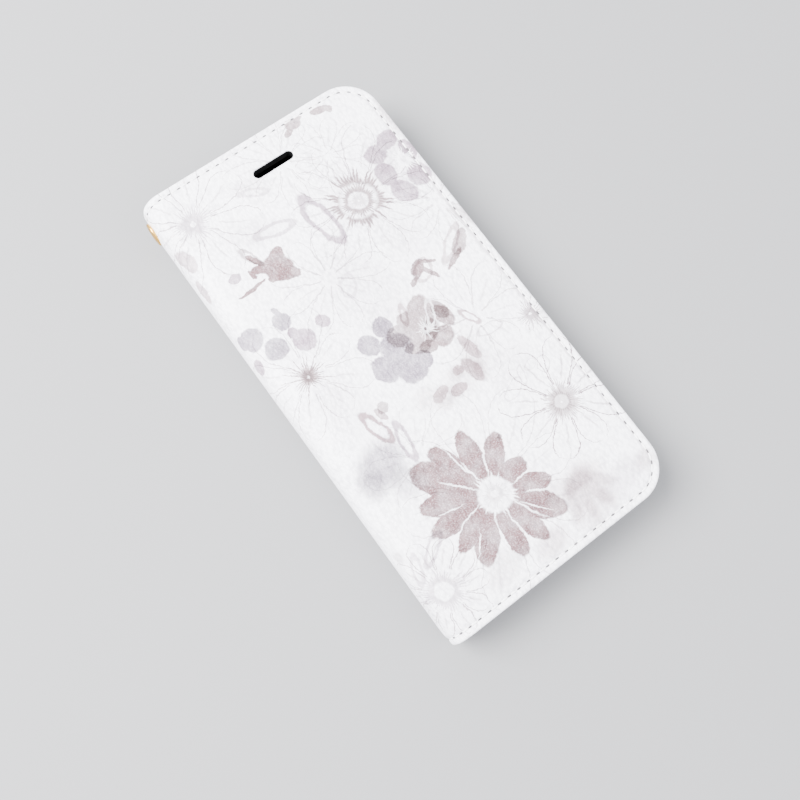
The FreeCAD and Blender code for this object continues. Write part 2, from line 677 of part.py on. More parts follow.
def check_and_write():
    doc.recompute()
    for thing in doc.Objects:
        if "Invalid" in thing.State or "Error" in thing.State:
            raise RuntimeError(f"{thing.Label} is {thing.State}")
    for part in finished:
        if part.Shape.isNull() or not part.Shape.isValid():
            raise RuntimeError(f"{part.Label} has no valid shape")
    os.makedirs("parts", exist_ok=True)
    for part in finished:
        part.Shape.exportStep(f"parts/{part.Label}.step")
        box = part.Shape.BoundBox
        print(f"{part.Label:20s} {len(part.Shape.Solids):3d} solids {part.Shape.Volume:9.1f} mm3",
              f"x {box.XMin:.2f} to {box.XMax:.2f}, z {box.ZMin:.2f} to {box.ZMax:.2f}")


make_front_skin()
make_back_skin()
make_boards()
make_magnets()
make_linings()
make_wallet()
make_spine()
make_creases()
make_eyelet()
make_tray()
make_stitching()
check_and_write()
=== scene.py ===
import bmesh
import bpy
import math
from mathutils import Matrix, Vector


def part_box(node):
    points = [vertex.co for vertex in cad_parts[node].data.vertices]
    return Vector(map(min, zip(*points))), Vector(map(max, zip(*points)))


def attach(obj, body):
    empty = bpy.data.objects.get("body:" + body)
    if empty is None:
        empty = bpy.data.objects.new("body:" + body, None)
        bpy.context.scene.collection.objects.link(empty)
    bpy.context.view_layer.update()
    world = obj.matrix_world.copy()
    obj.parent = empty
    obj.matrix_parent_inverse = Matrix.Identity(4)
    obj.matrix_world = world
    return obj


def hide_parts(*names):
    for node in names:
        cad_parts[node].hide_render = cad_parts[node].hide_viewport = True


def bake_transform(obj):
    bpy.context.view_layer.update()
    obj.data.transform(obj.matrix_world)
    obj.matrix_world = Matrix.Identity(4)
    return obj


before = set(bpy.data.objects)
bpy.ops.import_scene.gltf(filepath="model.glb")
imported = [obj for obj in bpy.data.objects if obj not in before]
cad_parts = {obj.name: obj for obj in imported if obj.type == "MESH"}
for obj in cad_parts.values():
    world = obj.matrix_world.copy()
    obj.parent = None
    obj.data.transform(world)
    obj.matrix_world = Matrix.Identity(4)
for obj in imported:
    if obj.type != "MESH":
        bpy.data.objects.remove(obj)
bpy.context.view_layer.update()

mm = 0.001

# Places taken from the frame: the flat part of the covers starts where the creases end.
skinLow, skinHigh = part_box("front_skin")
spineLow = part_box("spine_skin")[0]
eyeletLow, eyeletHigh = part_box("eyelet")
flatStart = skinLow.x
freeEdge = skinHigh.x
halfLength = skinHigh.y
topZ = skinHigh.z
middleZ = topZ / 2
spineX = spineLow.x

# The bowed spine and its two creases, in section.
creaseRadius = 6.0 * mm
spineHalfAngle = math.radians(18)
spineRadius = creaseRadius + (middleZ - creaseRadius) / math.sin(spineHalfAngle)
creaseArc = creaseRadius * (math.pi / 2 - spineHalfAngle)
spineArc = spineRadius * spineHalfAngle
creaseTop = Vector((flatStart, 0, topZ - creaseRadius))
spineCentre = Vector((spineX + spineRadius, 0, middleZ))


# Helpers for working in edit mode.
def clearSelection():
    if bpy.context.object and bpy.context.object.mode != "OBJECT":
        bpy.ops.object.mode_set(mode="OBJECT")
    bpy.ops.object.select_all(action="DESELECT")


def activate(piece):
    clearSelection()
    piece.select_set(True)
    bpy.context.view_layer.objects.active = piece


def openMesh(piece):
    activate(piece)
    bpy.ops.object.mode_set(mode="EDIT")
    bpy.ops.mesh.select_all(action="DESELECT")


def closeMesh():
    bpy.ops.object.mode_set(mode="OBJECT")


def pickEdges(piece, test):
    bpy.ops.mesh.select_mode(type="EDGE")
    mesh = bmesh.from_edit_mesh(piece.data)
    for edge in mesh.edges:
        edge.select_set(test(edge))
    mesh.select_flush_mode()
    bmesh.update_edit_mesh(piece.data)


def pickPoints(piece, test):
    bpy.ops.mesh.select_mode(type="VERT")
    mesh = bmesh.from_edit_mesh(piece.data)
    for point in mesh.verts:
        point.select_set(test(point.co))
    mesh.select_flush_mode()
    bmesh.update_edit_mesh(piece.data)


def applyModifier(piece, kind, **values):
    activate(piece)
    modifier = piece.modifiers.new(kind.title(), kind)
    for name, value in values.items():
        setattr(modifier, name, value)
    bpy.ops.object.modifier_apply(modifier=modifier.name)


def settle(piece, name):
    # puts the place into the mesh, and leaves the object at the origin
    activate(piece)
    bpy.ops.object.transform_apply(location=True, rotation=True, scale=True)
    piece.name = name
    piece.data.name = name
    return piece


def joinPieces(pieces, name):
    activate(pieces[0])
    for piece in pieces:
        piece.select_set(True)
    bpy.ops.object.join()
    return settle(bpy.context.view_layer.objects.active, name)


def smoothShade(piece, degrees):
    activate(piece)
    bpy.ops.object.shade_smooth_by_angle(angle=math.radians(degrees))


def setMaterial(piece, material):
    piece.data.materials.clear()
    piece.data.materials.append(material)


# Helpers for materials.
def addNode(tree, kind, inputs=None, **settings):
    node = tree.nodes.new(kind)
    for name, value in settings.items():
        setattr(node, name, value)
    for socket, value in (inputs or {}).items():
        if isinstance(value, bpy.types.NodeSocket):
            tree.links.new(value, node.inputs[socket])
        else:
            node.inputs[socket].default_value = value
    return node


def math2(tree, operation, a, b=0.0, c=0.0, clamp=False):
    node = addNode(tree, "ShaderNodeMath", {0: a, 1: b, 2: c}, operation=operation, use_clamp=clamp)
    return node.outputs[0]


def newGroup(name, inputs, outputs):
    tree = bpy.data.node_groups.new(name, "ShaderNodeTree")
    for socketName, kind, value in inputs:
        socket = tree.interface.new_socket(socketName, in_out="INPUT", socket_type=kind)
        if value is not None:
            socket.default_value = value
    for socketName, kind in outputs:
        tree.interface.new_socket(socketName, in_out="OUTPUT", socket_type=kind)
    return tree, tree.nodes.new("NodeGroupInput").outputs, tree.nodes.new("NodeGroupOutput").inputs


def useGroup(tree, group, inputs=None):
    node = tree.nodes.new("ShaderNodeGroup")
    node.node_tree = group
    for socket, value in (inputs or {}).items():
        if isinstance(value, bpy.types.NodeSocket):
            tree.links.new(value, node.inputs[socket])
        else:
            node.inputs[socket].default_value = value
    return node


def newMaterial(name):
    material = bpy.data.materials.new(name)
    material.use_nodes = True
    tree = material.node_tree
    return material, tree, tree.nodes["Principled BSDF"]


def softStep(tree, value, low, high, start=0.0, end=1.0):
    node = addNode(tree, "ShaderNodeMapRange",
                   {"Value": value, "From Min": low, "From Max": high, "To Min": start, "To Max": end},
                   interpolation_type="SMOOTHSTEP", clamp=False)
    return node.outputs[0]


# Leather grain: small rounded pebbles with finer wrinkles between them.
def makeLeatherGrain():
    tree, given, out = newGroup(
        "leatherGrain",
        [("Vector", "NodeSocketVector", None), ("Size", "NodeSocketFloat", 900.0)],
        [("Height", "NodeSocketFloat"), ("Shade", "NodeSocketFloat")])
    bend = addNode(tree, "ShaderNodeTexNoise", {"Vector": given["Vector"], "Scale": 420.0, "Detail": 2.0})
    shift = addNode(tree, "ShaderNodeVectorMath", {0: bend.outputs["Color"], 3: 0.0009}, operation="SCALE")
    place = addNode(tree, "ShaderNodeVectorMath", {0: given["Vector"], 1: shift.outputs[0]}, operation="ADD")
    cells = addNode(tree, "ShaderNodeTexVoronoi", {"Vector": place.outputs[0], "Scale": given["Size"]},
                    feature="SMOOTH_F1")
    fine = addNode(tree, "ShaderNodeTexNoise", {"Vector": given["Vector"], "Scale": 2600.0, "Detail": 3.0})
    wide = addNode(tree, "ShaderNodeTexNoise", {"Vector": given["Vector"], "Scale": 95.0, "Detail": 2.0})
    pebble = math2(tree, "SUBTRACT", 1.0, cells.outputs["Distance"])
    height = math2(tree, "MULTIPLY_ADD", fine.outputs["Fac"], 0.35, pebble)
    strength = math2(tree, "MULTIPLY_ADD", wide.outputs["Fac"], 1.1, 0.25)
    tree.links.new(math2(tree, "MULTIPLY", height, strength), out["Height"])
    # painted shade: the pits and fine wrinkles of the grain darken the colour, standing in for their shading
    pit = softStep(tree, cells.outputs["Distance"], 0.25, 0.72)
    crease = softStep(tree, fine.outputs["Fac"], 0.50, 0.30)
    shade = math2(tree, "MULTIPLY_ADD", crease, 0.3, pit)
    tree.links.new(math2(tree, "MULTIPLY", shade, strength), out["Shade"])
    return tree


leatherGrain = makeLeatherGrain()


# Every motif is a small group of plain sums: it reads the place on the flat sheet in mm (Along and Up)
# and gives a mask.
def motifGroup(name, inputs, outputs=("Mask",)):
    tree, given, out = newGroup(
        name,
        [(label, "NodeSocketFloat", 0.0) for label in ("Along", "Up", "X", "Y")]
        + [(label, "NodeSocketFloat", value) for label, value in inputs],
        [(label, "NodeSocketFloat") for label in outputs])
    dx = math2(tree, "SUBTRACT", given["Along"], given["X"])
    dy = math2(tree, "SUBTRACT", given["Up"], given["Y"])
    return tree, given, out, dx, dy


def distanceOf(tree, dx, dy):
    square = math2(tree, "MULTIPLY_ADD", dx, dx, math2(tree, "MULTIPLY", dy, dy))
    return math2(tree, "SQRT", square)


def polar(tree, dx, dy, count, phase):
    # distance from the middle, the number of the slice, and the place across it from -0.5 to 0.5
    radius = distanceOf(tree, dx, dy)
    angle = math2(tree, "ARCTAN2", dy, dx)
    turns = math2(tree, "MULTIPLY_ADD", angle, 1 / (2 * math.pi), phase)
    slices = math2(tree, "MULTIPLY", turns, count)
    whole = math2(tree, "FLOOR", slices)
    across = math2(tree, "SUBTRACT", math2(tree, "SUBTRACT", slices, whole), 0.5)
    return radius, math2(tree, "FLOORED_MODULO", whole, count), across


def randomOf(tree, number, seed):
    key = math2(tree, "MULTIPLY_ADD", seed, 17.3, number)
    noise = addNode(tree, "ShaderNodeTexWhiteNoise", {"W": key}, noise_dimensions="1D")
    return noise.outputs["Value"]


def makeBlot():
    # a filled or outlined ellipse, turned by Turn degrees
    tree, given, out, dx, dy = motifGroup(
        "blot", [("Long", 3.0), ("Wide", 2.0), ("Turn", 0.0), ("Soft", 0.12), ("Line", 0.1)],
        ("Mask", "Outline"))
    turn = math2(tree, "MULTIPLY", given["Turn"], math.pi / 180)
    cosine = math2(tree, "COSINE", turn)
    sine = math2(tree, "SINE", turn)
    along = math2(tree, "MULTIPLY_ADD", dx, cosine, math2(tree, "MULTIPLY", dy, sine))
    aside = math2(tree, "SUBTRACT", math2(tree, "MULTIPLY", dy, cosine), math2(tree, "MULTIPLY", dx, sine))
    reach = distanceOf(tree, math2(tree, "DIVIDE", along, given["Long"]),
                       math2(tree, "DIVIDE", aside, given["Wide"]))
    inside = math2(tree, "SUBTRACT", 1.0, reach)
    tree.links.new(softStep(tree, inside, math2(tree, "MULTIPLY", given["Soft"], -1.0), given["Soft"]),
                   out["Mask"])
    off = math2(tree, "ABSOLUTE", inside)
    tree.links.new(softStep(tree, off, math2(tree, "MULTIPLY", given["Line"], 0.4), given["Line"], 1.0, 0.0),
                   out["Outline"])
    return tree


def makePetals():
    # a ring of pointed petals, each of its own length; Vein marks the streaks along them
    tree, given, out, dx, dy = motifGroup(
        "petals", [("Count", 12.0), ("Phase", 0.0), ("Inner", 3.0), ("Outer", 16.0), ("Full", 0.95),
                   ("Uneven", 0.3), ("Soft", 0.25), ("Line", 0.16), ("Seed", 1.0), ("Blunt", 3.0)],
        ("Mask", "Outline", "Vein"))
    radius, number, across = polar(tree, dx, dy, given["Count"], given["Phase"])
    chance = math2(tree, "SUBTRACT", randomOf(tree, number, given["Seed"]), 0.5)
    stretch = math2(tree, "MULTIPLY_ADD", chance, given["Uneven"], 1.0)
    tip = math2(tree, "MULTIPLY", given["Outer"], stretch)
    along = math2(tree, "DIVIDE", math2(tree, "SUBTRACT", radius, given["Inner"]),
                  math2(tree, "SUBTRACT", tip, given["Inner"]))
    reached = math2(tree, "POWER", math2(tree, "MAXIMUM", along, 0.0), given["Blunt"])
    taper = math2(tree, "SUBTRACT", 1.0, reached)
    width = math2(tree, "MULTIPLY", math2(tree, "SQRT", math2(tree, "MAXIMUM", taper, 0.0)), given["Full"])
    slack = math2(tree, "SUBTRACT", width, math2(tree, "MULTIPLY", math2(tree, "ABSOLUTE", across), 2.0))
    halfSlice = math2(tree, "DIVIDE", math2(tree, "MULTIPLY", radius, math.pi), given["Count"])
    edge = math2(tree, "MULTIPLY", slack, halfSlice)
    past = softStep(tree, radius, math2(tree, "SUBTRACT", given["Inner"], 0.4), given["Inner"])
    minus = math2(tree, "MULTIPLY", given["Soft"], -1.0)
    tree.links.new(math2(tree, "MULTIPLY", softStep(tree, edge, minus, given["Soft"]), past), out["Mask"])
    near = softStep(tree, math2(tree, "ABSOLUTE", edge), math2(tree, "MULTIPLY", given["Line"], 0.4),
                    given["Line"], 1.0, 0.0)
    within = softStep(tree, along, 0.98, 1.03, 1.0, 0.0)
    tree.links.new(math2(tree, "MULTIPLY", near, math2(tree, "MULTIPLY", past, within)), out["Outline"])
    lean = math2(tree, "MULTIPLY_ADD", chance, 0.25, across)
    streak = math2(tree, "MULTIPLY", math2(tree, "ABSOLUTE", lean), halfSlice)
    length = math2(tree, "MULTIPLY", softStep(tree, along, 0.05, 0.2),
                   softStep(tree, along, 0.5, 0.8, 1.0, 0.0))
    tree.links.new(math2(tree, "MULTIPLY", softStep(tree, streak, 0.04, 0.2, 1.0, 0.0), length), out["Vein"])
    return tree


def makeSpikes():
    # fine strokes that run out from a middle, each of its own length and strength
    tree, given, out, dx, dy = motifGroup(
        "spikes", [("Count", 40.0), ("Phase", 0.0), ("Inner", 2.0), ("Outer", 6.0), ("Thick", 0.3),
                   ("Uneven", 0.6), ("Seed", 1.0)])
    radius, number, across = polar(tree, dx, dy, given["Count"], given["Phase"])
    chance = randomOf(tree, number, given["Seed"])
    tip = math2(tree, "MULTIPLY", given["Outer"],
                math2(tree, "SUBTRACT", 1.0, math2(tree, "MULTIPLY", chance, given["Uneven"])))
    sliceWidth = math2(tree, "DIVIDE", math2(tree, "MULTIPLY", radius, 2 * math.pi), given["Count"])
    off = math2(tree, "MULTIPLY", math2(tree, "ABSOLUTE", across), sliceWidth)
    thick = math2(tree, "MULTIPLY", given["Thick"], softStep(tree, radius, given["Inner"], tip, 1.0, 0.3))
    stroke = softStep(tree, off, math2(tree, "MULTIPLY", thick, 0.3), thick, 1.0, 0.0)
    low = softStep(tree, radius, math2(tree, "MULTIPLY", given["Inner"], 0.8), given["Inner"])
    high = softStep(tree, radius, math2(tree, "MULTIPLY", tip, 0.85), tip, 1.0, 0.0)
    tree.links.new(math2(tree, "MULTIPLY", stroke, math2(tree, "MULTIPLY", low, high)), out["Mask"])
    return tree


blot = makeBlot()
petals = makePetals()
spikes = makeSpikes()

# Inks: what the ink leaves of the white under it.
inks = {
    "rose": (0.14, 0.065, 0.068),
    "paleRose": (0.26, 0.155, 0.17),
    "mauve": (0.27, 0.19, 0.24),
    "grey": (0.21, 0.175, 0.215),
    "line": (0.16, 0.09, 0.11),
    "white": (1.0, 1.0, 1.0),
}

# Where each motif stands on the front, in mm from the lower end of the spine. Angles in degrees.
softBlots = (  # x, y, long, wide, turn, ink, strength
    (12, 48, 7.0, 5.5, 20, "grey", 0.85), (7, 45, 4.4, 3.4, 80, "grey", 0.6),
    (15, 41, 4.0, 4.4, 0, "grey", 0.55),
    (52, 10, 9.0, 6.0, 60, "paleRose", 0.46), (36, 6, 5.0, 3.0, 10, "paleRose", 0.5),
    (62, 8, 8.0, 3.6, 10, "mauve", 0.35),
    (22, 8, 6.0, 3.4, 20, "paleRose", 0.32), (46, 15, 4.0, 3.4, 0, "paleRose", 0.40),
    (44, 54, 8.5, 3.6, 12, "paleRose", 0.30), (50, 58, 3.0, 4.5, 15, "paleRose", 0.32),
    (33, 55, 3.6, 3.4, 0, "paleRose", 0.30), (37, 90, 9.0, 14.0, 10, "mauve", 0.20),
    (14, 66, 6.0, 9.0, 10, "mauve", 0.16),
    (21, 121, 7.0, 4.0, -20, "mauve", 0.22), (56, 96, 7.0, 8.0, 0, "mauve", 0.14),
    (57, 50, 7.0, 5.0, 0, "mauve", 0.16),
    (66, 116, 6.0, 9.0, 5, "mauve", 0.32), (51, 112, 9.0, 9.0, 0, "mauve", 0.20),
    (8, 133, 5.5, 6.5, 30, "mauve", 0.14),
    (6, 13, 8.5, 9.0, 0, "mauve", 0.10),
    (73.4, 128, 1.4, 6.5, 0, "rose", 0.45),
    (71.6, 75, 0.7, 62, 0, "paleRose", 0.30), (73, 92, 2.2, 4.2, 25, "rose", 0.45),
    (72, 56, 2.2, 2.6, 0, "rose", 0.28),
    (70, 8, 3.0, 2.6, 30, "paleRose", 0.45), (1, 26, 1.6, 2.0, 0, "rose", 0.4),
    (46.8, 10.6, 5.4, 1.9, 66, "paleRose", 0.50), (50.2, 9.2, 6.4, 1.7, 82, "paleRose", 0.45),
    (54.0, 9.4, 5.8, 1.8, 104, "paleRose", 0.50), (57.0, 11.4, 4.6, 1.4, 132, "paleRose", 0.40),
    (52.0, 14.8, 4.2, 2.6, 10, "paleRose", 0.55), (48.4, 54.0, 2.2, 4.0, 10, "paleRose", 0.45),
    (37.0, 52.0, 3.6, 2.2, 30, "paleRose", 0.40), (43.0, 56.4, 2.4, 1.8, 0, "paleRose", 0.40),
    (28, 133, 6.0, 2.2, -25, "mauve", 0.22), (54, 60, 2.6, 6.0, 10, "mauve", 0.14),
)
# Painted shapes: each is made of several ellipses (x, y, long, wide, turn) that share one even coat of ink.
paintedShapes = (
    ("grey", 0.93, ((4, 95.5, 3.3, 3.5, 0), (13.5, 95, 2.6, 2.9, 40), (13.8, 98, 0.9, 2.2, 10),
                    (8, 89.5, 3.2, 3.0, 0),
                    (1.2, 96.5, 1.8, 2.4, 0))),
    ("mauve", 0.95, ((15.6, 87.4, 3.2, 3.0, 0), (22.3, 89, 1.9, 2.3, 30), (0.6, 88.5, 2.0, 2.4, 0),
                     (10, 112.5, 1.9, 1.4, 0), (14.2, 90.5, 1.5, 1.6, 0))),
    ("grey", 1.00, ((28.4, 68, 3.4, 4.4, 20), (28.6, 76, 3.0, 3.2, 0), (34.5, 64, 4.4, 4.0, 0),
                    (34.6, 78, 2.8, 3.0, 0),
                    (34, 71, 4.6, 4.6, 0), (38.5, 64.5, 2.4, 2.8, 0))),
    ("rose", 0.84, ((36.8, 73.8, 3.6, 3.0, 10), (45.8, 76.2, 4.8, 3.4, 58), (41.0, 75.6, 2.8, 3.0, 0),
                        (43, 71.5, 4.8, 4.4, 0), (38.8, 68.4, 3.4, 2.0, -30), (50, 73.6, 2.0, 3.4, 20))),
    ("rose", 0.90, ((50.2, 71.4, 2.2, 4.0, 15), (46.6, 66.6, 3.4, 3.0, 20), (41.4, 66.6, 2.6, 1.8, -30),
                    (45.0, 71.0, 2.6, 2.0, 40))),
    ("rose", 1.00, ((21.6, 108.2, 3.8, 4.6, 25), (18.2, 110.2, 4.0, 1.5, -24), (23.2, 111.8, 2.4, 2.2, 20),
                    (12.2, 107.3, 4.6, 0.5, 3), (14.6, 110.6, 0.7, 1.7, 10), (17.6, 113.2, 3.6, 0.9, 116),
                    (23.8, 104.8, 2.4, 1.4, -10), (19.6, 106.2, 2.6, 1.3, -20))),
    ("rose", 0.84, ((49.4, 141.8, 2.6, 1.9, -20), (47.0, 140.0, 1.6, 1.1, 30), (51.8, 142.6, 1.1, 0.9, 0),
                    (58.2, 141.4, 2.9, 1.3, -12), (60.6, 139.9, 1.0, 1.5, 10))),
    ("rose", 0.92, ((52.6, 86.5, 2.8, 1.9, 30), (54.8, 83.6, 0.8, 3.2, 25), (50.2, 83.9, 2.6, 0.7, 25),
                        (62.6, 82.8, 3.6, 0.8, 26), (56.2, 86.4, 2.4, 0.6, -30))),
    ("rose", 0.77, ((66.6, 85.8, 4.2, 2.0, 34), (68.4, 87.4, 2.2, 1.6, 20), (21.4, 60.2, 1.6, 1.7, -30),
                    (41.8, 35.7, 0.7, 0.7, 0))),
    ("paleRose", 0.81, ((20, 59, 0.9, 2.2, 25), (36.2, 54, 3.0, 1.6, 30), (41, 52.4, 2.4, 1.6, 0),
                        (47.4, 54.6, 2.0, 4.2, 10), (50.6, 60, 1.5, 4.2, 10), (44.2, 56.6, 1.8, 1.2, 0))),
    ("mauve", 0.92, ((63.4, 120.6, 3.4, 3.2, 0), (68.6, 122.6, 3.8, 2.8, 20), (62, 114, 3.0, 3.8, 0),
                     (63.6, 107, 3.2, 4.2, 30), (70.2, 109, 3.4, 4.0, 0), (72, 117, 2.2, 3.6, 0))),
    ("paleRose", 0.72, ((2.2, 124.2, 2.4, 3.8, 10), (0.2, 127, 1.6, 2.0, 0), (0.3, 115, 1.5, 4.0, 0))),
)
outlines = (  # x, y, long, wide, turn, ink, strength, line
    (17, 56.5, 4.9, 1.7, 105, "paleRose", 0.9, 0.34), (21, 49.5, 5.0, 1.4, 84, "mauve", 0.8, 0.4),
    (39.3, 113, 8.2, 2.6, 98, "mauve", 0.85, 0.32), (27, 118, 5.5, 1.7, -12, "mauve", 0.6, 0.35),
    (55.6, 67, 2.9, 1.0, 115, "paleRose", 0.8, 0.4), (58.3, 61.3, 3.8, 1.5, -8, "line", 0.45, 0.14),
    (64.5, 87, 5.4, 1.5, 38, "paleRose", 0.6, 0.35), (53.4, 85, 3.4, 2.5, 40, "paleRose", 0.6, 0.22),
    (17, 115, 3.4, 1.0, 112, "rose", 0.6, 0.4), (41.5, 77.5, 2.6, 0.9, 70, "paleRose", 0.7, 0.5),
    (47.5, 74, 3.8, 1.1, 60, "white", 0.5, 0.3),
    (28.5, 130.5, 3.8, 1.1, -24, "mauve", 0.45, 0.4), (34, 93, 3.0, 2.0, 70, "mauve", 0.35, 0.3),
    (10, 23, 4.4, 1.4, 35, "mauve", 0.6, 0.35), (3.5, 21, 3.6, 1.2, 70, "mauve", 0.5, 0.4),
    (64, 44.5, 2.4, 1.7, 60, "line", 0.40, 0.11), (57.5, 45.5, 2.8, 1.0, 70, "line", 0.40, 0.16),
    (53, 44, 3.6, 1.5, 25, "line", 0.32, 0.10), (61, 46.5, 1.9, 1.2, 20, "line", 0.32, 0.13),
)
lineFlowers = (  # x, y, count, phase, inner, outer, full, uneven, seed, strength
    (61.7, 33.5, 8, 0.03, 5.0, 17.0, 0.92, 0.25, 3, 0.98),
    (31, 98, 9, 0.1, 2.5, 15.0, 0.95, 0.35, 5, 0.55),
    (10.2, 132, 7, 0.3, 5.0, 19.0, 0.80, 0.35, 8, 0.76),
    (51, 112, 10, 0.2, 8.0, 21.0, 0.93, 0.25, 9, 0.66),
    (10.5, 78.5, 8, 0.15, 5.5, 17.0, 0.90, 0.3, 12, 0.60),
    (57, 66, 7, 0.4, 3.0, 16.0, 0.94, 0.3, 14, 0.55),
    (31.5, 24.4, 9, 0.5, 12.0, 27.0, 0.9, 0.25, 17, 0.50),
    (40, 134, 8, 0.22, 3.0, 15.0, 0.9, 0.4, 21, 0.50),
    (6, 13, 10, 0.1, 6.0, 13.0, 0.9, 0.2, 23, 0.76),
    (70, 99, 8, 0.0, 3.0, 15.0, 0.9, 0.3, 25, 0.50),
    (22, 44, 7, 0.6, 3.0, 14.0, 0.9, 0.3, 27, 0.41),
    (52, 128, 9, 0.35, 2.0, 12.0, 0.95, 0.3, 31, 0.46),
)
burstMotifs = (  # x, y, count, inner, outer, thick, uneven, seed, ink, strength
    (61.7, 33.5, 54, 2.2, 7.4, 0.42, 0.5, 2, "rose", 0.66),
    (61.7, 33.5, 26, 0.3, 4.4, 0.70, 0.4, 4, "rose", 0.50),
    (10.5, 78.5, 34, 0.5, 8.4, 0.36, 0.7, 6, "rose", 0.85),
    (10.5, 78.5, 18, 0.2, 3.4, 0.40, 0.5, 7, "rose", 0.65),
    (51, 112, 44, 3.2, 6.6, 0.52, 0.35, 9, "rose", 0.80),
    (51, 112, 54, 6.2, 11.0, 0.66, 0.45, 10, "rose", 0.85),
    (51, 112, 26, 0.4, 3.4, 0.34, 0.5, 11, "rose", 0.40),
    (9.5, 132, 40, 1.0, 8.4, 0.42, 0.6, 13, "mauve", 0.60),
    (70, 58, 26, 0.4, 6.0, 0.36, 0.6, 15, "line", 0.70),
    (6, 13, 46, 2.8, 8.4, 0.44, 0.5, 19, "mauve", 0.55),
    (69, 115, 26, 1.0, 4.8, 0.42, 0.6, 22, "white", 0.85),
    (31.6, 24.4, 38, 4.2, 7.0, 0.44, 0.6, 24, "white", 0.85),
    (31.6, 24.4, 30, 1.2, 4.6, 0.34, 0.5, 26, "rose", 0.34),
    (44, 71, 20, 0.5, 4.0, 0.30, 0.6, 28, "white", 0.6),
)
daisyPetals = (  # x, y, long, wide, turn: the painted flower in the lower half
    (22.0, 35.5, 8.6, 4.4, 122), (26.8, 35.8, 8.4, 3.2, 107), (32.6, 35.6, 8.0, 3.1, 80),
    (37.4, 32.6, 6.6, 3.0, 50), (20.6, 25.6, 8.8, 3.2, 180), (19.8, 30.2, 7.2, 3.2, 158),
    (23.4, 17.6, 8.4, 3.4, 54), (21.6, 21.2, 7.4, 2.8, 28), (29.6, 15.6, 8.4, 2.9, 82),
    (33.9, 15.4, 8.2, 2.9, 104),
    (39.0, 16.6, 8.4, 4.0, 132), (40.4, 21.2, 6.2, 2.9, 162), (38.6, 26.4, 5.2, 3.2, 12),
    (28.5, 25.5, 7.0, 7.0, 0), (36.0, 23.0, 4.5, 5.0, 0),
)
daisySlits = (  # x, y, long, wide, turn: bare white between and along the petals
    (25.3, 31.6, 5.0, 0.26, 132), (28.8, 36.2, 5.6, 0.24, 104), (30.0, 33.0, 3.0, 0.3, 95),
    (35.0, 33.2, 5.0, 0.28, 66), (19.8, 28.0, 3.4, 0.16, 168), (21.4, 23.4, 5.2, 0.22, 16),
    (20.4, 16.4, 3.4, 0.20, 52), (26.2, 15.4, 4.6, 0.24, 66), (31.6, 14.0, 5.4, 0.24, 92),
    (36.4, 16.6, 5.4, 0.26, 120), (38.4, 16.0, 4.0, 0.18, 132), (41.6, 18.6, 3.6, 0.22, 150),
    (40.6, 24.0, 3.2, 0.24, 4),
)


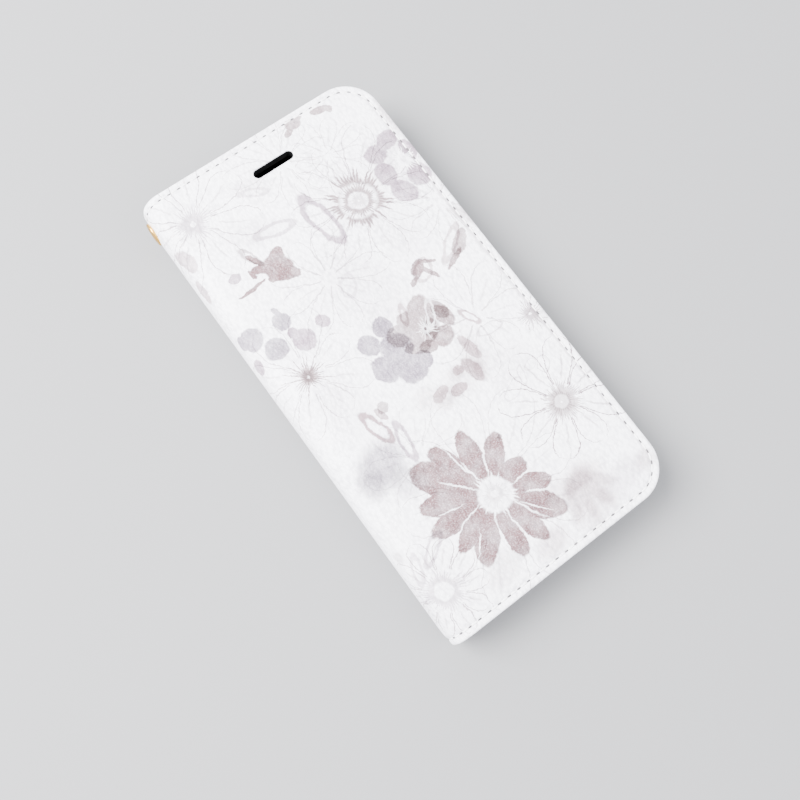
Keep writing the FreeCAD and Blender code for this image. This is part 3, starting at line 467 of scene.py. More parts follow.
def makeFloralPrint():
    tree, given, out = newGroup(
        "floralPrint", [("Place", "NodeSocketVector", None)],
        [("Tint", "NodeSocketColor"), ("Ink", "NodeSocketFloat")])
    flat = addNode(tree, "ShaderNodeSeparateXYZ", {0: given["Place"]}).outputs
    place = addNode(tree, "ShaderNodeCombineXYZ", {"X": flat["X"], "Y": flat["Y"]}).outputs[0]
    # hand-drawn edges: the place is pushed about by three sizes of noise
    pushes = ((0.16, 1.8), (0.75, 0.9), (2.6, 0.45))
    loose = place
    for scale, amount in pushes:
        noise = addNode(tree, "ShaderNodeTexNoise", {"Vector": place, "Scale": scale, "Detail": 2.0})
        centred = addNode(tree, "ShaderNodeVectorMath", {0: noise.outputs["Color"], 1: (0.5, 0.5, 0.5)},
                          operation="SUBTRACT")
        scaled = addNode(tree, "ShaderNodeVectorMath", {0: centred.outputs[0], 3: amount}, operation="SCALE")
        pushed = addNode(tree, "ShaderNodeVectorMath", {0: loose, 1: scaled.outputs[0]}, operation="ADD")
        loose = pushed.outputs[0]
    spot = addNode(tree, "ShaderNodeSeparateXYZ", {0: loose}).outputs
    here = {"Along": spot["X"], "Up": spot["Y"]}
    wash = addNode(tree, "ShaderNodeTexNoise", {"Vector": place, "Scale": 0.22, "Detail": 4.0}).outputs["Fac"]
    fineNoise = addNode(tree, "ShaderNodeTexNoise", {"Vector": place, "Scale": 2.6, "Detail": 2.0})
    mottle = fineNoise.outputs["Fac"]
    brush = math2(tree, "MULTIPLY", softStep(tree, wash, 0.30, 0.62, 0.84, 1.0),
                  softStep(tree, mottle, 0.30, 0.55, 0.82, 1.0))
    tint = addNode(tree, "ShaderNodeCombineColor", {0: 1.0, 1: 1.0, 2: 1.0}).outputs[0]

    def lay(tint, mask, ink, strength, brushed=True):
        amount = math2(tree, "MULTIPLY", mask, strength)
        if brushed:
            amount = math2(tree, "MULTIPLY", amount, brush)
        kind = "MIX" if ink == "white" else "MULTIPLY"
        mix = addNode(tree, "ShaderNodeMix", {0: amount, 6: tint, 7: (*inks[ink], 1)},
                      data_type="RGBA", blend_type=kind)
        return mix.outputs[2]

    for x, y, long, wide, turn, ink, strength in softBlots:
        node = useGroup(tree, blot, {**here, "X": x, "Y": y, "Long": long, "Wide": wide, "Turn": turn,
                                     "Soft": 0.45})
        tint = lay(tint, node.outputs["Mask"], ink, strength)
    for x, y, count, phase, inner, outer, full, uneven, seed, strength in lineFlowers:
        node = useGroup(tree, petals, {**here, "X": x, "Y": y, "Count": count, "Phase": phase,
                                       "Inner": inner, "Outer": outer, "Full": full, "Uneven": uneven,
                                       "Seed": seed, "Line": 0.17})
        tint = lay(tint, node.outputs["Outline"], "line", strength, False)
        tint = lay(tint, node.outputs["Vein"], "line", strength * 0.5, False)
    for ink, strength, ellipses in paintedShapes:
        painted = 0.0
        for x, y, long, wide, turn in ellipses:
            node = useGroup(tree, blot, {**here, "X": x, "Y": y, "Long": long, "Wide": wide, "Turn": turn,
                                         "Soft": 0.08})
            painted = math2(tree, "MAXIMUM", painted, node.outputs["Mask"])
        tint = lay(tint, painted, ink, strength)
    filled = 0.0
    for x, y, long, wide, turn in daisyPetals:
        node = useGroup(tree, blot, {**here, "X": x, "Y": y, "Long": long, "Wide": wide, "Turn": turn,
                                     "Soft": 0.05})
        filled = math2(tree, "MAXIMUM", filled, node.outputs["Mask"])
    for x, y, long, wide, turn in daisySlits:
        node = useGroup(tree, blot, {**here, "X": x, "Y": y, "Long": long, "Wide": wide, "Turn": turn,
                                     "Soft": 0.4})
        bare = math2(tree, "MULTIPLY", node.outputs["Mask"], 0.8)
        filled = math2(tree, "SUBTRACT", filled, bare, clamp=False)
    tint = lay(tint, math2(tree, "MAXIMUM", filled, 0.0), "rose", 1.0)
    eye = useGroup(tree, blot, {**here, "X": 31.6, "Y": 24.4, "Long": 4.7, "Wide": 4.7, "Soft": 0.12})
    tint = lay(tint, eye.outputs["Mask"], "white", 0.88, False)
    for x, y, long, wide, turn, ink, strength, line in outlines:
        node = useGroup(tree, blot, {**here, "X": x, "Y": y, "Long": long, "Wide": wide, "Turn": turn,
                                     "Line": line})
        tint = lay(tint, node.outputs["Outline"], ink, strength, False)
    for x, y, count, inner, outer, thick, uneven, seed, ink, strength in burstMotifs:
        node = useGroup(tree, spikes, {**here, "X": x, "Y": y, "Count": count, "Inner": inner,
                                       "Outer": outer, "Thick": thick, "Uneven": uneven, "Seed": seed})
        tint = lay(tint, node.outputs["Mask"], ink, strength, False)
    tree.links.new(tint, out["Tint"])
    parts = addNode(tree, "ShaderNodeSeparateColor", {0: tint})
    tree.links.new(math2(tree, "SUBTRACT", 1.0, parts.outputs[1]), out["Ink"])
    return tree


floralPrint = makeFloralPrint()


printLook = {
    "white": (0.93, 0.92, 0.965, 1),
    # colour of the painted shade in the pits of the grain
    "pit": (0.50, 0.48, 0.53, 1),
    "pitShadeStrength": 0.60,
    "bump": 1.0,
    "bumpHeight": 0.28 * mm,
    "seamFade": 2.0,              # mm over which the print fades at the middle of the spine
}


def makePrintedLeatherette():
    material, tree, shader = newMaterial("printedLeatherette")
    flat = addNode(tree, "ShaderNodeAttribute", attribute_name="sheetPlace").outputs["Vector"]
    metres = addNode(tree, "ShaderNodeVectorMath", {0: flat, 3: mm}, operation="SCALE").outputs[0]
    grain = useGroup(tree, leatherGrain, {"Vector": metres})
    printed = useGroup(tree, floralPrint, {"Place": flat})
    # painted shade: the pits of the grain are darkened in the colour
    pitShadeAmount = math2(tree, "MULTIPLY", grain.outputs["Shade"], printLook["pitShadeStrength"])
    white = addNode(tree, "ShaderNodeMix", {0: pitShadeAmount, 6: printLook["white"], 7: printLook["pit"]},
                    data_type="RGBA").outputs[2]
    # the third value of the place is the distance from the seam
    fromSeam = addNode(tree, "ShaderNodeSeparateXYZ", {0: flat}).outputs["Z"]
    shown = softStep(tree, fromSeam, 0.4, printLook["seamFade"])
    colour = addNode(tree, "ShaderNodeMix", {0: shown, 6: white, 7: printed.outputs["Tint"]},
                     data_type="RGBA", blend_type="MULTIPLY").outputs[2]
    tree.links.new(colour, shader.inputs["Base Color"])
    rough = softStep(tree, grain.outputs["Height"], 0.2, 1.2, 0.56, 0.40)
    inkRough = math2(tree, "MULTIPLY_ADD", printed.outputs["Ink"], 0.08, rough)
    tree.links.new(inkRough, shader.inputs["Roughness"])
    bump = addNode(tree, "ShaderNodeBump", {"Height": grain.outputs["Height"], "Strength": printLook["bump"],
                                            "Distance": printLook["bumpHeight"]})
    tree.links.new(bump.outputs[0], shader.inputs["Normal"])
    return material


def makeSpeckle():
    # fine irregular roughness for hard and soft matt surfaces
    tree, given, out = newGroup(
        "speckle",
        [("Vector", "NodeSocketVector", None), ("Size", "NodeSocketFloat", 2000.0),
         ("Low", "NodeSocketColor", (0.4, 0.4, 0.4, 1)), ("High", "NodeSocketColor", (0.5, 0.5, 0.5, 1)),
         ("Rough", "NodeSocketFloat", 0.5), ("Vary", "NodeSocketFloat", 0.1)],
        [("Color", "NodeSocketColor"), ("Roughness", "NodeSocketFloat"), ("Height", "NodeSocketFloat")])
    fine = addNode(tree, "ShaderNodeTexNoise", {"Vector": given["Vector"], "Scale": given["Size"],
                                                "Detail": 4.0}).outputs["Fac"]
    wide = addNode(tree, "ShaderNodeTexNoise", {"Vector": given["Vector"], "Scale": 130.0,
                                                "Detail": 3.0}).outputs["Fac"]
    both = math2(tree, "MULTIPLY_ADD", wide, 0.5, math2(tree, "MULTIPLY", fine, 0.5))
    mix = addNode(tree, "ShaderNodeMix", {0: softStep(tree, both, 0.35, 0.65), 6: given["Low"],
                                          7: given["High"]}, data_type="RGBA")
    tree.links.new(mix.outputs[2], out["Color"])
    centred = math2(tree, "SUBTRACT", both, 0.5)
    tree.links.new(math2(tree, "MULTIPLY_ADD", centred, given["Vary"], given["Rough"]), out["Roughness"])
    tree.links.new(fine, out["Height"])
    return tree


speckle = makeSpeckle()


def makeFinish(name, low, high, size, rough, vary, bumpHeight, metallic=0.0, specular=0.5):
    material, tree, shader = newMaterial(name)
    place = addNode(tree, "ShaderNodeTexCoord").outputs["Object"]
    surface = useGroup(tree, speckle, {"Vector": place, "Size": size, "Low": (*low, 1), "High": (*high, 1),
                                       "Rough": rough, "Vary": vary})
    tree.links.new(surface.outputs["Color"], shader.inputs["Base Color"])
    tree.links.new(surface.outputs["Roughness"], shader.inputs["Roughness"])
    bump = addNode(tree, "ShaderNodeBump", {"Height": surface.outputs["Height"], "Strength": 0.6,
                                            "Distance": bumpHeight})
    tree.links.new(bump.outputs[0], shader.inputs["Normal"])
    shader.inputs["Metallic"].default_value = metallic
    shader.inputs["Specular IOR Level"].default_value = specular
    return material


liningLook = {
    "colour": (0.64, 0.62, 0.64, 1),
    # colour of the painted shade in the pits of the grain
    "pit": (0.36, 0.34, 0.36, 1),
    "bumpHeight": 0.14 * mm,
}


def makeLiningLeatherette():
    material, tree, shader = newMaterial("liningLeatherette")
    place = addNode(tree, "ShaderNodeTexCoord").outputs["Object"]
    grain = useGroup(tree, leatherGrain, {"Vector": place, "Size": 1100.0})
    # painted shade: the pits of the grain are darkened in the colour
    pitShadeAmount = math2(tree, "MULTIPLY", grain.outputs["Shade"], 0.35)
    colour = addNode(tree, "ShaderNodeMix", {0: pitShadeAmount, 6: liningLook["colour"], 7: liningLook["pit"]},
                     data_type="RGBA")
    tree.links.new(colour.outputs[2], shader.inputs["Base Color"])
    tree.links.new(softStep(tree, grain.outputs["Height"], 0.2, 1.2, 0.62, 0.48), shader.inputs["Roughness"])
    bump = addNode(tree, "ShaderNodeBump", {"Height": grain.outputs["Height"], "Strength": 0.7,
                                            "Distance": liningLook["bumpHeight"]})
    tree.links.new(bump.outputs[0], shader.inputs["Normal"])
    return material


printedLeatherette = makePrintedLeatherette()
liningLeatherette = makeLiningLeatherette()
thread = makeFinish("thread", (0.80, 0.79, 0.80), (0.90, 0.89, 0.90), 5200.0, 0.62, 0.3, 0.06 * mm)
needleShade = makeFinish("needleShade", (0.045, 0.04, 0.045), (0.10, 0.09, 0.095), 4000.0, 0.9, 0.1,
                         0.03 * mm)
goldMetal = makeFinish("goldMetal", (0.66, 0.38, 0.075), (0.76, 0.47, 0.12), 900.0, 0.24, 0.16,
                       0.004 * mm, 1.0)
trayPlastic = makeFinish("trayPlastic", (0.004, 0.004, 0.0045), (0.007, 0.007, 0.0075), 3200.0, 0.50, 0.2,
                         0.012 * mm, specular=0.16)
platedSteel = makeFinish("platedSteel", (0.55, 0.55, 0.57), (0.66, 0.66, 0.68), 1500.0, 0.34, 0.25,
                         0.005 * mm, 1.0)
greyboard = makeFinish("greyboard", (0.30, 0.285, 0.26), (0.40, 0.385, 0.36), 1800.0, 0.85, 0.1, 0.06 * mm)
foam = makeFinish("foam", (0.74, 0.74, 0.72), (0.86, 0.86, 0.84), 2600.0, 0.92, 0.1, 0.10 * mm)
adhesive = makeFinish("adhesive", (0.10, 0.10, 0.10), (0.14, 0.14, 0.14), 2400.0, 0.7, 0.1, 0.03 * mm)
print("materials made")


# The printed skin, in two halves that meet along the middle of the spine.
skin = {
    "thickness": 0.8 * mm,
    "wall": 1.9 * mm,             # edge of the cover, seen from the side
    "spineWall": 1.2 * mm,
    "corner": 10.75 * mm,
    "cornerSteps": 16,
    "firstZ": 0.85 * mm,          # start of the rounded edge, below the padded field
    # each ring: how far in, and how far up
    "rings": ((0.12, 0.22), (0.22, 0.17), (0.36, 0.08), (0.75, 0.02), (0.16, -0.10), (0.22, -0.07),
              (0.34, 0.0), (0.18, 0.12), (0.30, 0.17), (0.55, 0.12), (0.9, 0.07), (1.6, 0.05)),
    "grid": 6.0 * mm,
    "creaseSteps": 12,
    "spineSteps": 4,
}


def skinHalf(name):
    # the upper half, as a surface: the cover, its crease and half the spine
    spare = 20 * mm
    width = freeEdge - flatStart + spare
    bpy.ops.mesh.primitive_plane_add(
        size=1, location=(freeEdge - width / 2, 0, topZ - skin["firstZ"]))
    piece = bpy.context.object
    piece.scale = (width, 2 * halfLength, 1)
    settle(piece, name)
    openMesh(piece)
    pickPoints(piece, lambda co: co.x > freeEdge - 0.1 * mm)
    bpy.ops.mesh.bevel(offset=skin["corner"], affect="VERTICES", segments=skin["cornerSteps"])
    bpy.ops.mesh.select_mode(type="FACE")
    bpy.ops.mesh.select_all(action="SELECT")
    for inward, upward in skin["rings"]:
        bpy.ops.mesh.inset(thickness=inward * mm, depth=upward * mm)
    for axis, low, high in ((0, flatStart, freeEdge), (1, -halfLength, halfLength)):
        count = round((high - low) / skin["grid"])
        for step in range(1, count):
            cut = [0, 0, 0]
            cut[axis] = low + (high - low) * step / count
            direction = [0, 0, 0]
            direction[axis] = 1
            bpy.ops.mesh.select_all(action="SELECT")
            bpy.ops.mesh.bisect(plane_co=cut, plane_no=direction)
    bpy.ops.mesh.select_all(action="SELECT")
    bpy.ops.mesh.bisect(plane_co=(flatStart, 0, 0), plane_no=(1, 0, 0), clear_inner=True)
    for centre, turn, steps in ((creaseTop, math.pi / 2 - spineHalfAngle, skin["creaseSteps"]),
                                (spineCentre, spineHalfAngle, skin["spineSteps"])):
        if centre is creaseTop:
            pickEdges(piece, lambda edge: all(abs(end.co.x - flatStart) < 0.01 * mm for end in edge.verts))
        bpy.ops.mesh.spin(steps=steps, angle=turn, center=centre, axis=(0, 1, 0))
    bpy.ops.mesh.select_all(action="SELECT")
    bpy.ops.mesh.remove_doubles(threshold=0.002 * mm)
    closeMesh()
    return piece


def inwardAt(co):
    # direction into the sheet, square to its outer face, and how deep the folded edge is there
    if co.x >= flatStart:
        return Vector((0, 0, -1)), skin["wall"]
    centre = creaseTop
    away = co - centre
    if math.atan2(away.z, -away.x) < spineHalfAngle:
        centre = spineCentre
        away = co - centre
        share = 0.0
    else:
        share = (math.atan2(away.z, -away.x) - spineHalfAngle) / (math.pi / 2 - spineHalfAngle)
    away.y = 0
    share = share * share * (3 - 2 * share)
    return -away.normalized(), skin["spineWall"] + (skin["wall"] - skin["spineWall"]) * share


def foldEdge(piece):
    openMesh(piece)
    pickEdges(piece, lambda edge: edge.is_boundary
              and not all(abs(end.co.z - middleZ) < 0.01 * mm for end in edge.verts))
    bpy.ops.mesh.extrude_edges_move()
    mesh = bmesh.from_edit_mesh(piece.data)
    moves = [(point, *inwardAt(point.co)) for point in mesh.verts if point.select]
    for point, direction, depth in moves:
        point.co += direction * depth
    bmesh.update_edit_mesh(piece.data)
    bpy.ops.mesh.select_all(action="SELECT")
    bpy.ops.mesh.normals_make_consistent(inside=False)
    largest = max(mesh.faces, key=lambda face: face.calc_area())
    if largest.normal.z < 0:
        bpy.ops.mesh.flip_normals()
    closeMesh()


def cutPill(piece, length, width, centre, edgeRadius):
    # a round-ended slot right through the sheet, with a softened rim
    bpy.ops.mesh.primitive_cube_add(size=1, location=(centre.x, centre.y, centre.z))
    cutter = bpy.context.object
    cutter.scale = (length, width, 12 * mm)
    settle(cutter, "cutter")
    openMesh(cutter)
    pickEdges(cutter, lambda edge: abs(edge.verts[0].co.z - edge.verts[1].co.z) > mm)
    bpy.ops.mesh.bevel(offset=width / 2 * 0.999, segments=12, affect="EDGES")
    closeMesh()
    applyModifier(piece, "BOOLEAN", object=cutter, operation="DIFFERENCE", solver="EXACT")
    bpy.data.objects.remove(cutter)
    reach = Vector((length / 2 + 0.05 * mm, width / 2 + 0.05 * mm, 0))
    openMesh(piece)

    def onRim(edge):
        return all(abs(end.co.x - centre.x) < reach.x and abs(end.co.y - centre.y) < reach.y
                   and abs(end.co.z - centre.z) < 0.3 * mm for end in edge.verts)

    pickEdges(piece, onRim)
    bpy.ops.mesh.bevel(offset=edgeRadius, segments=3, affect="EDGES")
    closeMesh()


frontPrint = skinHalf("frontPrint")
backPrint = skinHalf("backPrint")
for piece in (frontPrint, backPrint):
    foldEdge(piece)
openMesh(backPrint)
bpy.ops.mesh.select_all(action="SELECT")
bpy.ops.transform.resize(value=(1, 1, -1), center_override=(0, 0, middleZ))
bpy.ops.mesh.flip_normals()
closeMesh()
for piece in (frontPrint, backPrint):
    print(piece.name, len(piece.data.vertices), "points", [round(v * 1000, 2) for v in piece.dimensions])
    applyModifier(piece, "SOLIDIFY", thickness=skin["thickness"], offset=-1.0)
print("skins made")

slot = {
    "length": 13.0 * mm,
    "width": 2.8 * mm,
    "centre": Vector((spineX + 37.9 * mm, 61.8 * mm, topZ)),
    "edge": 0.2 * mm,
}
cutPill(frontPrint, slot["length"], slot["width"], slot["centre"], slot["edge"])

camera = {
    "length": 34.0 * mm,
    "width": 16.0 * mm,
    "centre": Vector((spineX + 51.5 * mm, 60.0 * mm, 0)),
    "edge": 0.3 * mm,
}
cutPill(backPrint, camera["length"], camera["width"], camera["centre"], camera["edge"])


def mirrorPiece(piece):
    # from the front half to the back half
    openMesh(piece)
    bpy.ops.mesh.select_all(action="SELECT")
    bpy.ops.transform.resize(value=(1, 1, -1), center_override=(0, 0, middleZ))
    bpy.ops.mesh.flip_normals()
    closeMesh()


def rolledPoint(along, across, depth):
    # a point of the front sheet, from its place on the flat sheet and its depth under the outside
    if along >= 0:
        return Vector((flatStart + along, across, topZ - depth))
    most = math.pi / 2 - spineHalfAngle
    turn = -along / creaseRadius
    centre, radius = creaseTop, creaseRadius
    if turn > most:
        turn = most + (-along - creaseArc) / spineRadius
        centre, radius = spineCentre, spineRadius
    return Vector((centre.x - (radius - depth) * math.sin(turn), across,
                   centre.z + (radius - depth) * math.cos(turn)))


eyelet = {
    "centre": Vector((spineX, (eyeletLow.y + eyeletHigh.y) / 2, middleZ)),
    "bore": 2.0 * mm,
    "barrel": 2.5 * mm,
    "rim": 3.5 * mm,
    "rimHalfHeight": 0.5 * mm,
    "rimMiddle": -0.1 * mm,       # from the outermost line of the spine
    "innerEnd": eyeletHigh.x - spineX,
    "roll": 0.24 * mm,
}


def cutEyeletHole(piece):
    bpy.ops.mesh.primitive_cylinder_add(
        vertices=48, radius=eyelet["barrel"] + 0.02 * mm, depth=8 * mm, location=eyelet["centre"],
        rotation=(0, math.pi / 2, 0))
    cutter = bpy.context.object
    settle(cutter, "cutter")
    applyModifier(piece, "BOOLEAN", object=cutter, operation="DIFFERENCE", solver="EXACT")
    bpy.data.objects.remove(cutter)


cutEyeletHole(frontPrint)
cutEyeletHole(backPrint)


def unrolled(x, z):
    # distance from the edge of the flat cover, along the outside; negative round the crease
    if x >= flatStart:
        return x - flatStart
    turn = math.atan2(creaseTop.x - x, z - creaseTop.z)
    most = math.pi / 2 - spineHalfAngle
    if turn <= most:
        return -creaseRadius * turn
    turn = math.atan2(spineCentre.x - x, z - spineCentre.z)
    return -creaseArc - spineRadius * (turn - most)


def markSheetPlace(piece, isFront):
    # the back cover's places run on past the middle of the spine, beyond the motifs, so it stays plain
    edge = flatStart - spineX
    middle = edge - creaseArc - spineArc
    values = []
    for point in piece.data.vertices:
        z = point.co.z if isFront else topZ - point.co.z
        along = edge + unrolled(point.co.x, z)
        up = point.co.y + halfLength
        fromSeam = along - middle
        if not isFront:
            along = 2 * middle - along
            up = 2 * halfLength - up
        values.extend((along / mm, up / mm, fromSeam / mm))
    place = piece.data.attributes.new("sheetPlace", "FLOAT_VECTOR", "POINT")
    place.data.foreach_set("vector", values)


markSheetPlace(frontPrint, True)
markSheetPlace(backPrint, False)
for piece in (frontPrint, backPrint):
    smoothShade(piece, 40)
    setMaterial(piece, printedLeatherette)
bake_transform(frontPrint)
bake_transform(backPrint)
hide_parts("front_skin", "front_crease_skin", "spine_skin")
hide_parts("back_skin", "back_crease_skin")

print("skins placed")

# The gold eyelet: a rounded rim, a thin barrel, and a rolled end inside the spine.
rimTube = (eyelet["rim"] - eyelet["bore"]) / 2
bpy.ops.mesh.primitive_torus_add(
    major_radius=eyelet["bore"] + rimTube, minor_radius=rimTube, major_segments=64, minor_segments=20,
    rotation=(0, math.pi / 2, 0), location=eyelet["centre"] + Vector((eyelet["rimMiddle"], 0, 0)))
rim = bpy.context.object
rim.scale = (1, 1, eyelet["rimHalfHeight"] / rimTube)
bpy.ops.mesh.primitive_torus_add(
    major_radius=eyelet["barrel"] + 0.1 * mm, minor_radius=eyelet["roll"], major_segments=64,
    minor_segments=14, rotation=(0, math.pi / 2, 0),
    location=eyelet["centre"] + Vector((eyelet["innerEnd"] - eyelet["roll"], 0, 0)))
rolledEnd = bpy.context.object
bpy.ops.mesh.primitive_cylinder_add(
    vertices=64, radius=(eyelet["bore"] + eyelet["barrel"]) / 2,
    depth=eyelet["innerEnd"] - 2 * eyelet["roll"],
    end_fill_type="NOTHING", rotation=(0, math.pi / 2, 0),
    location=eyelet["centre"] + Vector((eyelet["innerEnd"] / 2 - eyelet["roll"] + 0.1 * mm, 0, 0)))
barrel = bpy.context.object
settle(barrel, "barrel")
applyModifier(barrel, "SOLIDIFY", thickness=eyelet["barrel"] - eyelet["bore"], offset=0.0)
for part in (rim, rolledEnd):
    settle(part, part.name)
goldEyelet = joinPieces([rim, rolledEnd, barrel], "goldEyelet")
smoothShade(goldEyelet, 50)
setMaterial(goldEyelet, goldMetal)
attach(goldEyelet, "spine")
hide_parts("eyelet")
print("eyelet made")

# Stitches. One thread is modelled and copied along the row; the needle holes sit in the gaps.
sewing = {
    "inset": 2.0 * mm,
    "pitch": 3.15 * mm,
    "length": 2.15 * mm,
    "radius": 0.25 * mm,
    "depth": 0.50 * mm,           # middle of the thread under the padded field
    "dive": 0.16 * mm,            # how far the ends of a thread drop into the holes
    "holeLength": 1.3 * mm,
    "holeWidth": 0.50 * mm,
    "holeHeight": 0.24 * mm,
    "holeDepth": 0.52 * mm,
    "spineShare": 0.55,           # how far the rows run round the spine
    "corner": 8.75 * mm,
    "walletHeight": 0.10 * mm,
}


def makeThread():
    bpy.ops.mesh.primitive_uv_sphere_add(segments=10, ring_count=8, radius=sewing["radius"],
                                         rotation=(0, math.pi / 2, 0))
    piece = settle(bpy.context.object, "oneThread")
    openMesh(piece)
    stretch = sewing["length"] / 2 - sewing["radius"]
    for side in (-1, 1):
        pickPoints(piece, lambda co: co.x * side > 0.01 * mm)
        bpy.ops.transform.translate(value=(side * stretch, 0, 0))
        bpy.ops.mesh.select_all(action="DESELECT")
    closeMesh()
    for point in piece.data.vertices:
        share = point.co.x / (sewing["length"] / 2)
        point.co.z -= sewing["dive"] * share ** 4
    return piece


def makeHole():
    bpy.ops.mesh.primitive_uv_sphere_add(segments=12, ring_count=6, radius=0.5)
    piece = bpy.context.object
    piece.scale = (sewing["holeLength"], sewing["holeWidth"], sewing["holeHeight"])
    return settle(piece, "oneHole")


oneThread = makeThread()
oneHole = makeHole()


def edgeRow():
    # corners of the row on the flat sheet, from the lower end of the spine to its upper end
    start = -creaseArc - spineArc * sewing["spineShare"]
    free = freeEdge - flatStart - sewing["inset"]
    half = halfLength - sewing["inset"]
    radius = sewing["corner"]
    points = [Vector((start, -half)), Vector((free - radius, -half))]
    for centreY, first in ((radius - half, -math.pi / 2), (half - radius, 0.0)):
        for step in range(1, 13):
            angle = first + step / 12 * math.pi / 2
            centre = Vector((free - radius, centreY))
            points.append(centre + radius * Vector((math.cos(angle), math.sin(angle))))
        if first < 0:
            points.append(Vector((free, half - radius)))
    points.append(Vector((start, half)))
    return points


def alongRow(points, distance):
    # place and direction at a distance along the row
    for first, second in zip(points, points[1:]):
        step = (second - first).length
        if distance <= step or second is points[-1]:
            direction = (second - first).normalized() if step > 0 else Vector((1, 0))
            return first + direction * distance, direction
        distance -= step


def copyPiece(source):
    copy = source.copy()
    copy.data = source.data.copy()
    bpy.context.collection.objects.link(copy)
    return copy


def sew(source, points, offset, depth, mapping):
    # copies of the source along a row of points; offset moves them by a share of the pitch
    whole = sum((b - a).length for a, b in zip(points, points[1:]))
    count = round(whole / sewing["pitch"])
    copies = []
    for number in range(count):
        middle = (number + 0.5 + offset) * whole / count
        if middle > whole:
            continue
        copy = copyPiece(source)
        for point in copy.data.vertices:
            spot, direction = alongRow(points, middle + point.co.x)
            side = Vector((-direction.y, direction.x))
            spot = spot + side * point.co.y
            point.co = mapping(spot.x, spot.y, depth - point.co.z)
        copies.append(copy)
    return copies


edgePoints = edgeRow()
stitchRows = (
    ("Thread", sew(oneThread, edgePoints, 0.0, sewing["depth"], rolledPoint), thread),
    ("Holes", sew(oneHole, edgePoints, 0.5, sewing["holeDepth"], rolledPoint), needleShade),
)
for label, body in (("front", "front_cover"), ("back", "back_cover")):
    for kind, row, look in stitchRows:
        piece = joinPieces([copyPiece(part) for part in row], label + kind)
        if label == "back":
            mirrorPiece(piece)
        smoothShade(piece, 60)
        setMaterial(piece, look)
        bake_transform(piece)
        if kind == "Thread":
            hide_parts(label + "_stitching")
for kind, row, look in stitchRows:
    for part in row:
        bpy.data.objects.remove(part)
print("stitches made")

# Linings of the two creases and of the spine: one thin sheet each, rolled like the skin.
liningRoll = {
    "thickness": 0.5 * mm,
    "depth": 0.8 * mm,
    "stripDepth": 0.4 * mm,       # the spine's lining passes under its stiffener
    "stripRun": 0.9 * mm,
    "halfLength": 71.7 * mm,
}


def rolledSheet(name, start, end, columns, depthAt):
    bpy.ops.mesh.primitive_grid_add(x_subdivisions=columns, y_subdivisions=24, size=1)
    piece = settle(bpy.context.object, name)
    for point in piece.data.vertices:
        along = start + (end - start) * (point.co.x + 0.5)
        point.co = rolledPoint(along, point.co.y * 2 * liningRoll["halfLength"], depthAt(along))
    applyModifier(piece, "SOLIDIFY", thickness=liningRoll["thickness"], offset=-1.0)
    return piece


def stripDepthAt(along):
    share = min(1.0, (-along - creaseArc) / liningRoll["stripRun"])
    return liningRoll["depth"] + liningRoll["stripDepth"] * share * share * (3 - 2 * share)


for label, body in (("front", "front_cover"), ("back", "back_cover")):
    creaseSheet = rolledSheet(label + "CreaseLining", -creaseArc, 0.0, 14, lambda along: liningRoll["depth"])
    if label == "back":
        mirrorPiece(creaseSheet)
    smoothShade(creaseSheet, 40)
    setMaterial(creaseSheet, liningLeatherette)
    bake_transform(creaseSheet)
    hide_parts(label + "_crease_lining")
upperLining = rolledSheet("upperLining", -creaseArc - spineArc, -creaseArc, 12, stripDepthAt)
lowerLining = rolledSheet("lowerLining", -creaseArc - spineArc, -creaseArc, 12, stripDepthAt)
mirrorPiece(lowerLining)
for piece in (upperLining, lowerLining):
    cutEyeletHole(piece)
spineLining = joinPieces([upperLining, lowerLining], "spineLining")
smoothShade(spineLining, 40)
setMaterial(spineLining, liningLeatherette)
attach(spineLining, "spine")
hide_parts("spine_lining")
print("crease and spine linings made")

# Linings of the covers, and the sheets of the wallet.
cover = {
    "liningThickness": 0.5 * mm,
    "liningCorner": 10.15 * mm,
    "stepRun": 2.2 * mm,
    "sheetCorner": 2.5 * mm,
    "edgeRound": 0.14 * mm,
    "hem": 1.5 * mm,              # pressed line beside the mouth of a pocket
    "hemDepth": 0.08 * mm,
    "mouthLift": 0.22 * mm,       # the mouths stand a little open
    "mouthReach": 6.0 * mm,
}


def flatSheet(name, low, high, corner, cuts):
    # a plane at the lower face, rounded at the free edge and cut by lines along Y
    bpy.ops.mesh.primitive_plane_add(size=1, location=((low.x + high.x) / 2, (low.y + high.y) / 2, low.z))
    piece = bpy.context.object
    piece.scale = (high.x - low.x, high.y - low.y, 1)
    settle(piece, name)
    openMesh(piece)
    pickPoints(piece, lambda co: co.x > high.x - 0.1 * mm)
    bpy.ops.mesh.bevel(offset=corner, affect="VERTICES", segments=12)
    for place in cuts:
        bpy.ops.mesh.select_all(action="SELECT")
        bpy.ops.mesh.bisect(plane_co=(place, 0, 0), plane_no=(1, 0, 0))
    rows = round((high.y - low.y) / (8 * mm))
    for row in range(1, rows):
        bpy.ops.mesh.select_all(action="SELECT")
        bpy.ops.mesh.bisect(plane_co=(0, low.y + (high.y - low.y) * row / rows, 0), plane_no=(0, 1, 0))
    closeMesh()
    return piece


def thicken(piece, thickness):
    # upwards, then a soft round on every sharp edge
    applyModifier(piece, "SOLIDIFY", thickness=thickness, offset=1.0)
    applyModifier(piece, "BEVEL", width=cover["edgeRound"], segments=3, limit_method="ANGLE",
                  angle_limit=math.radians(50))


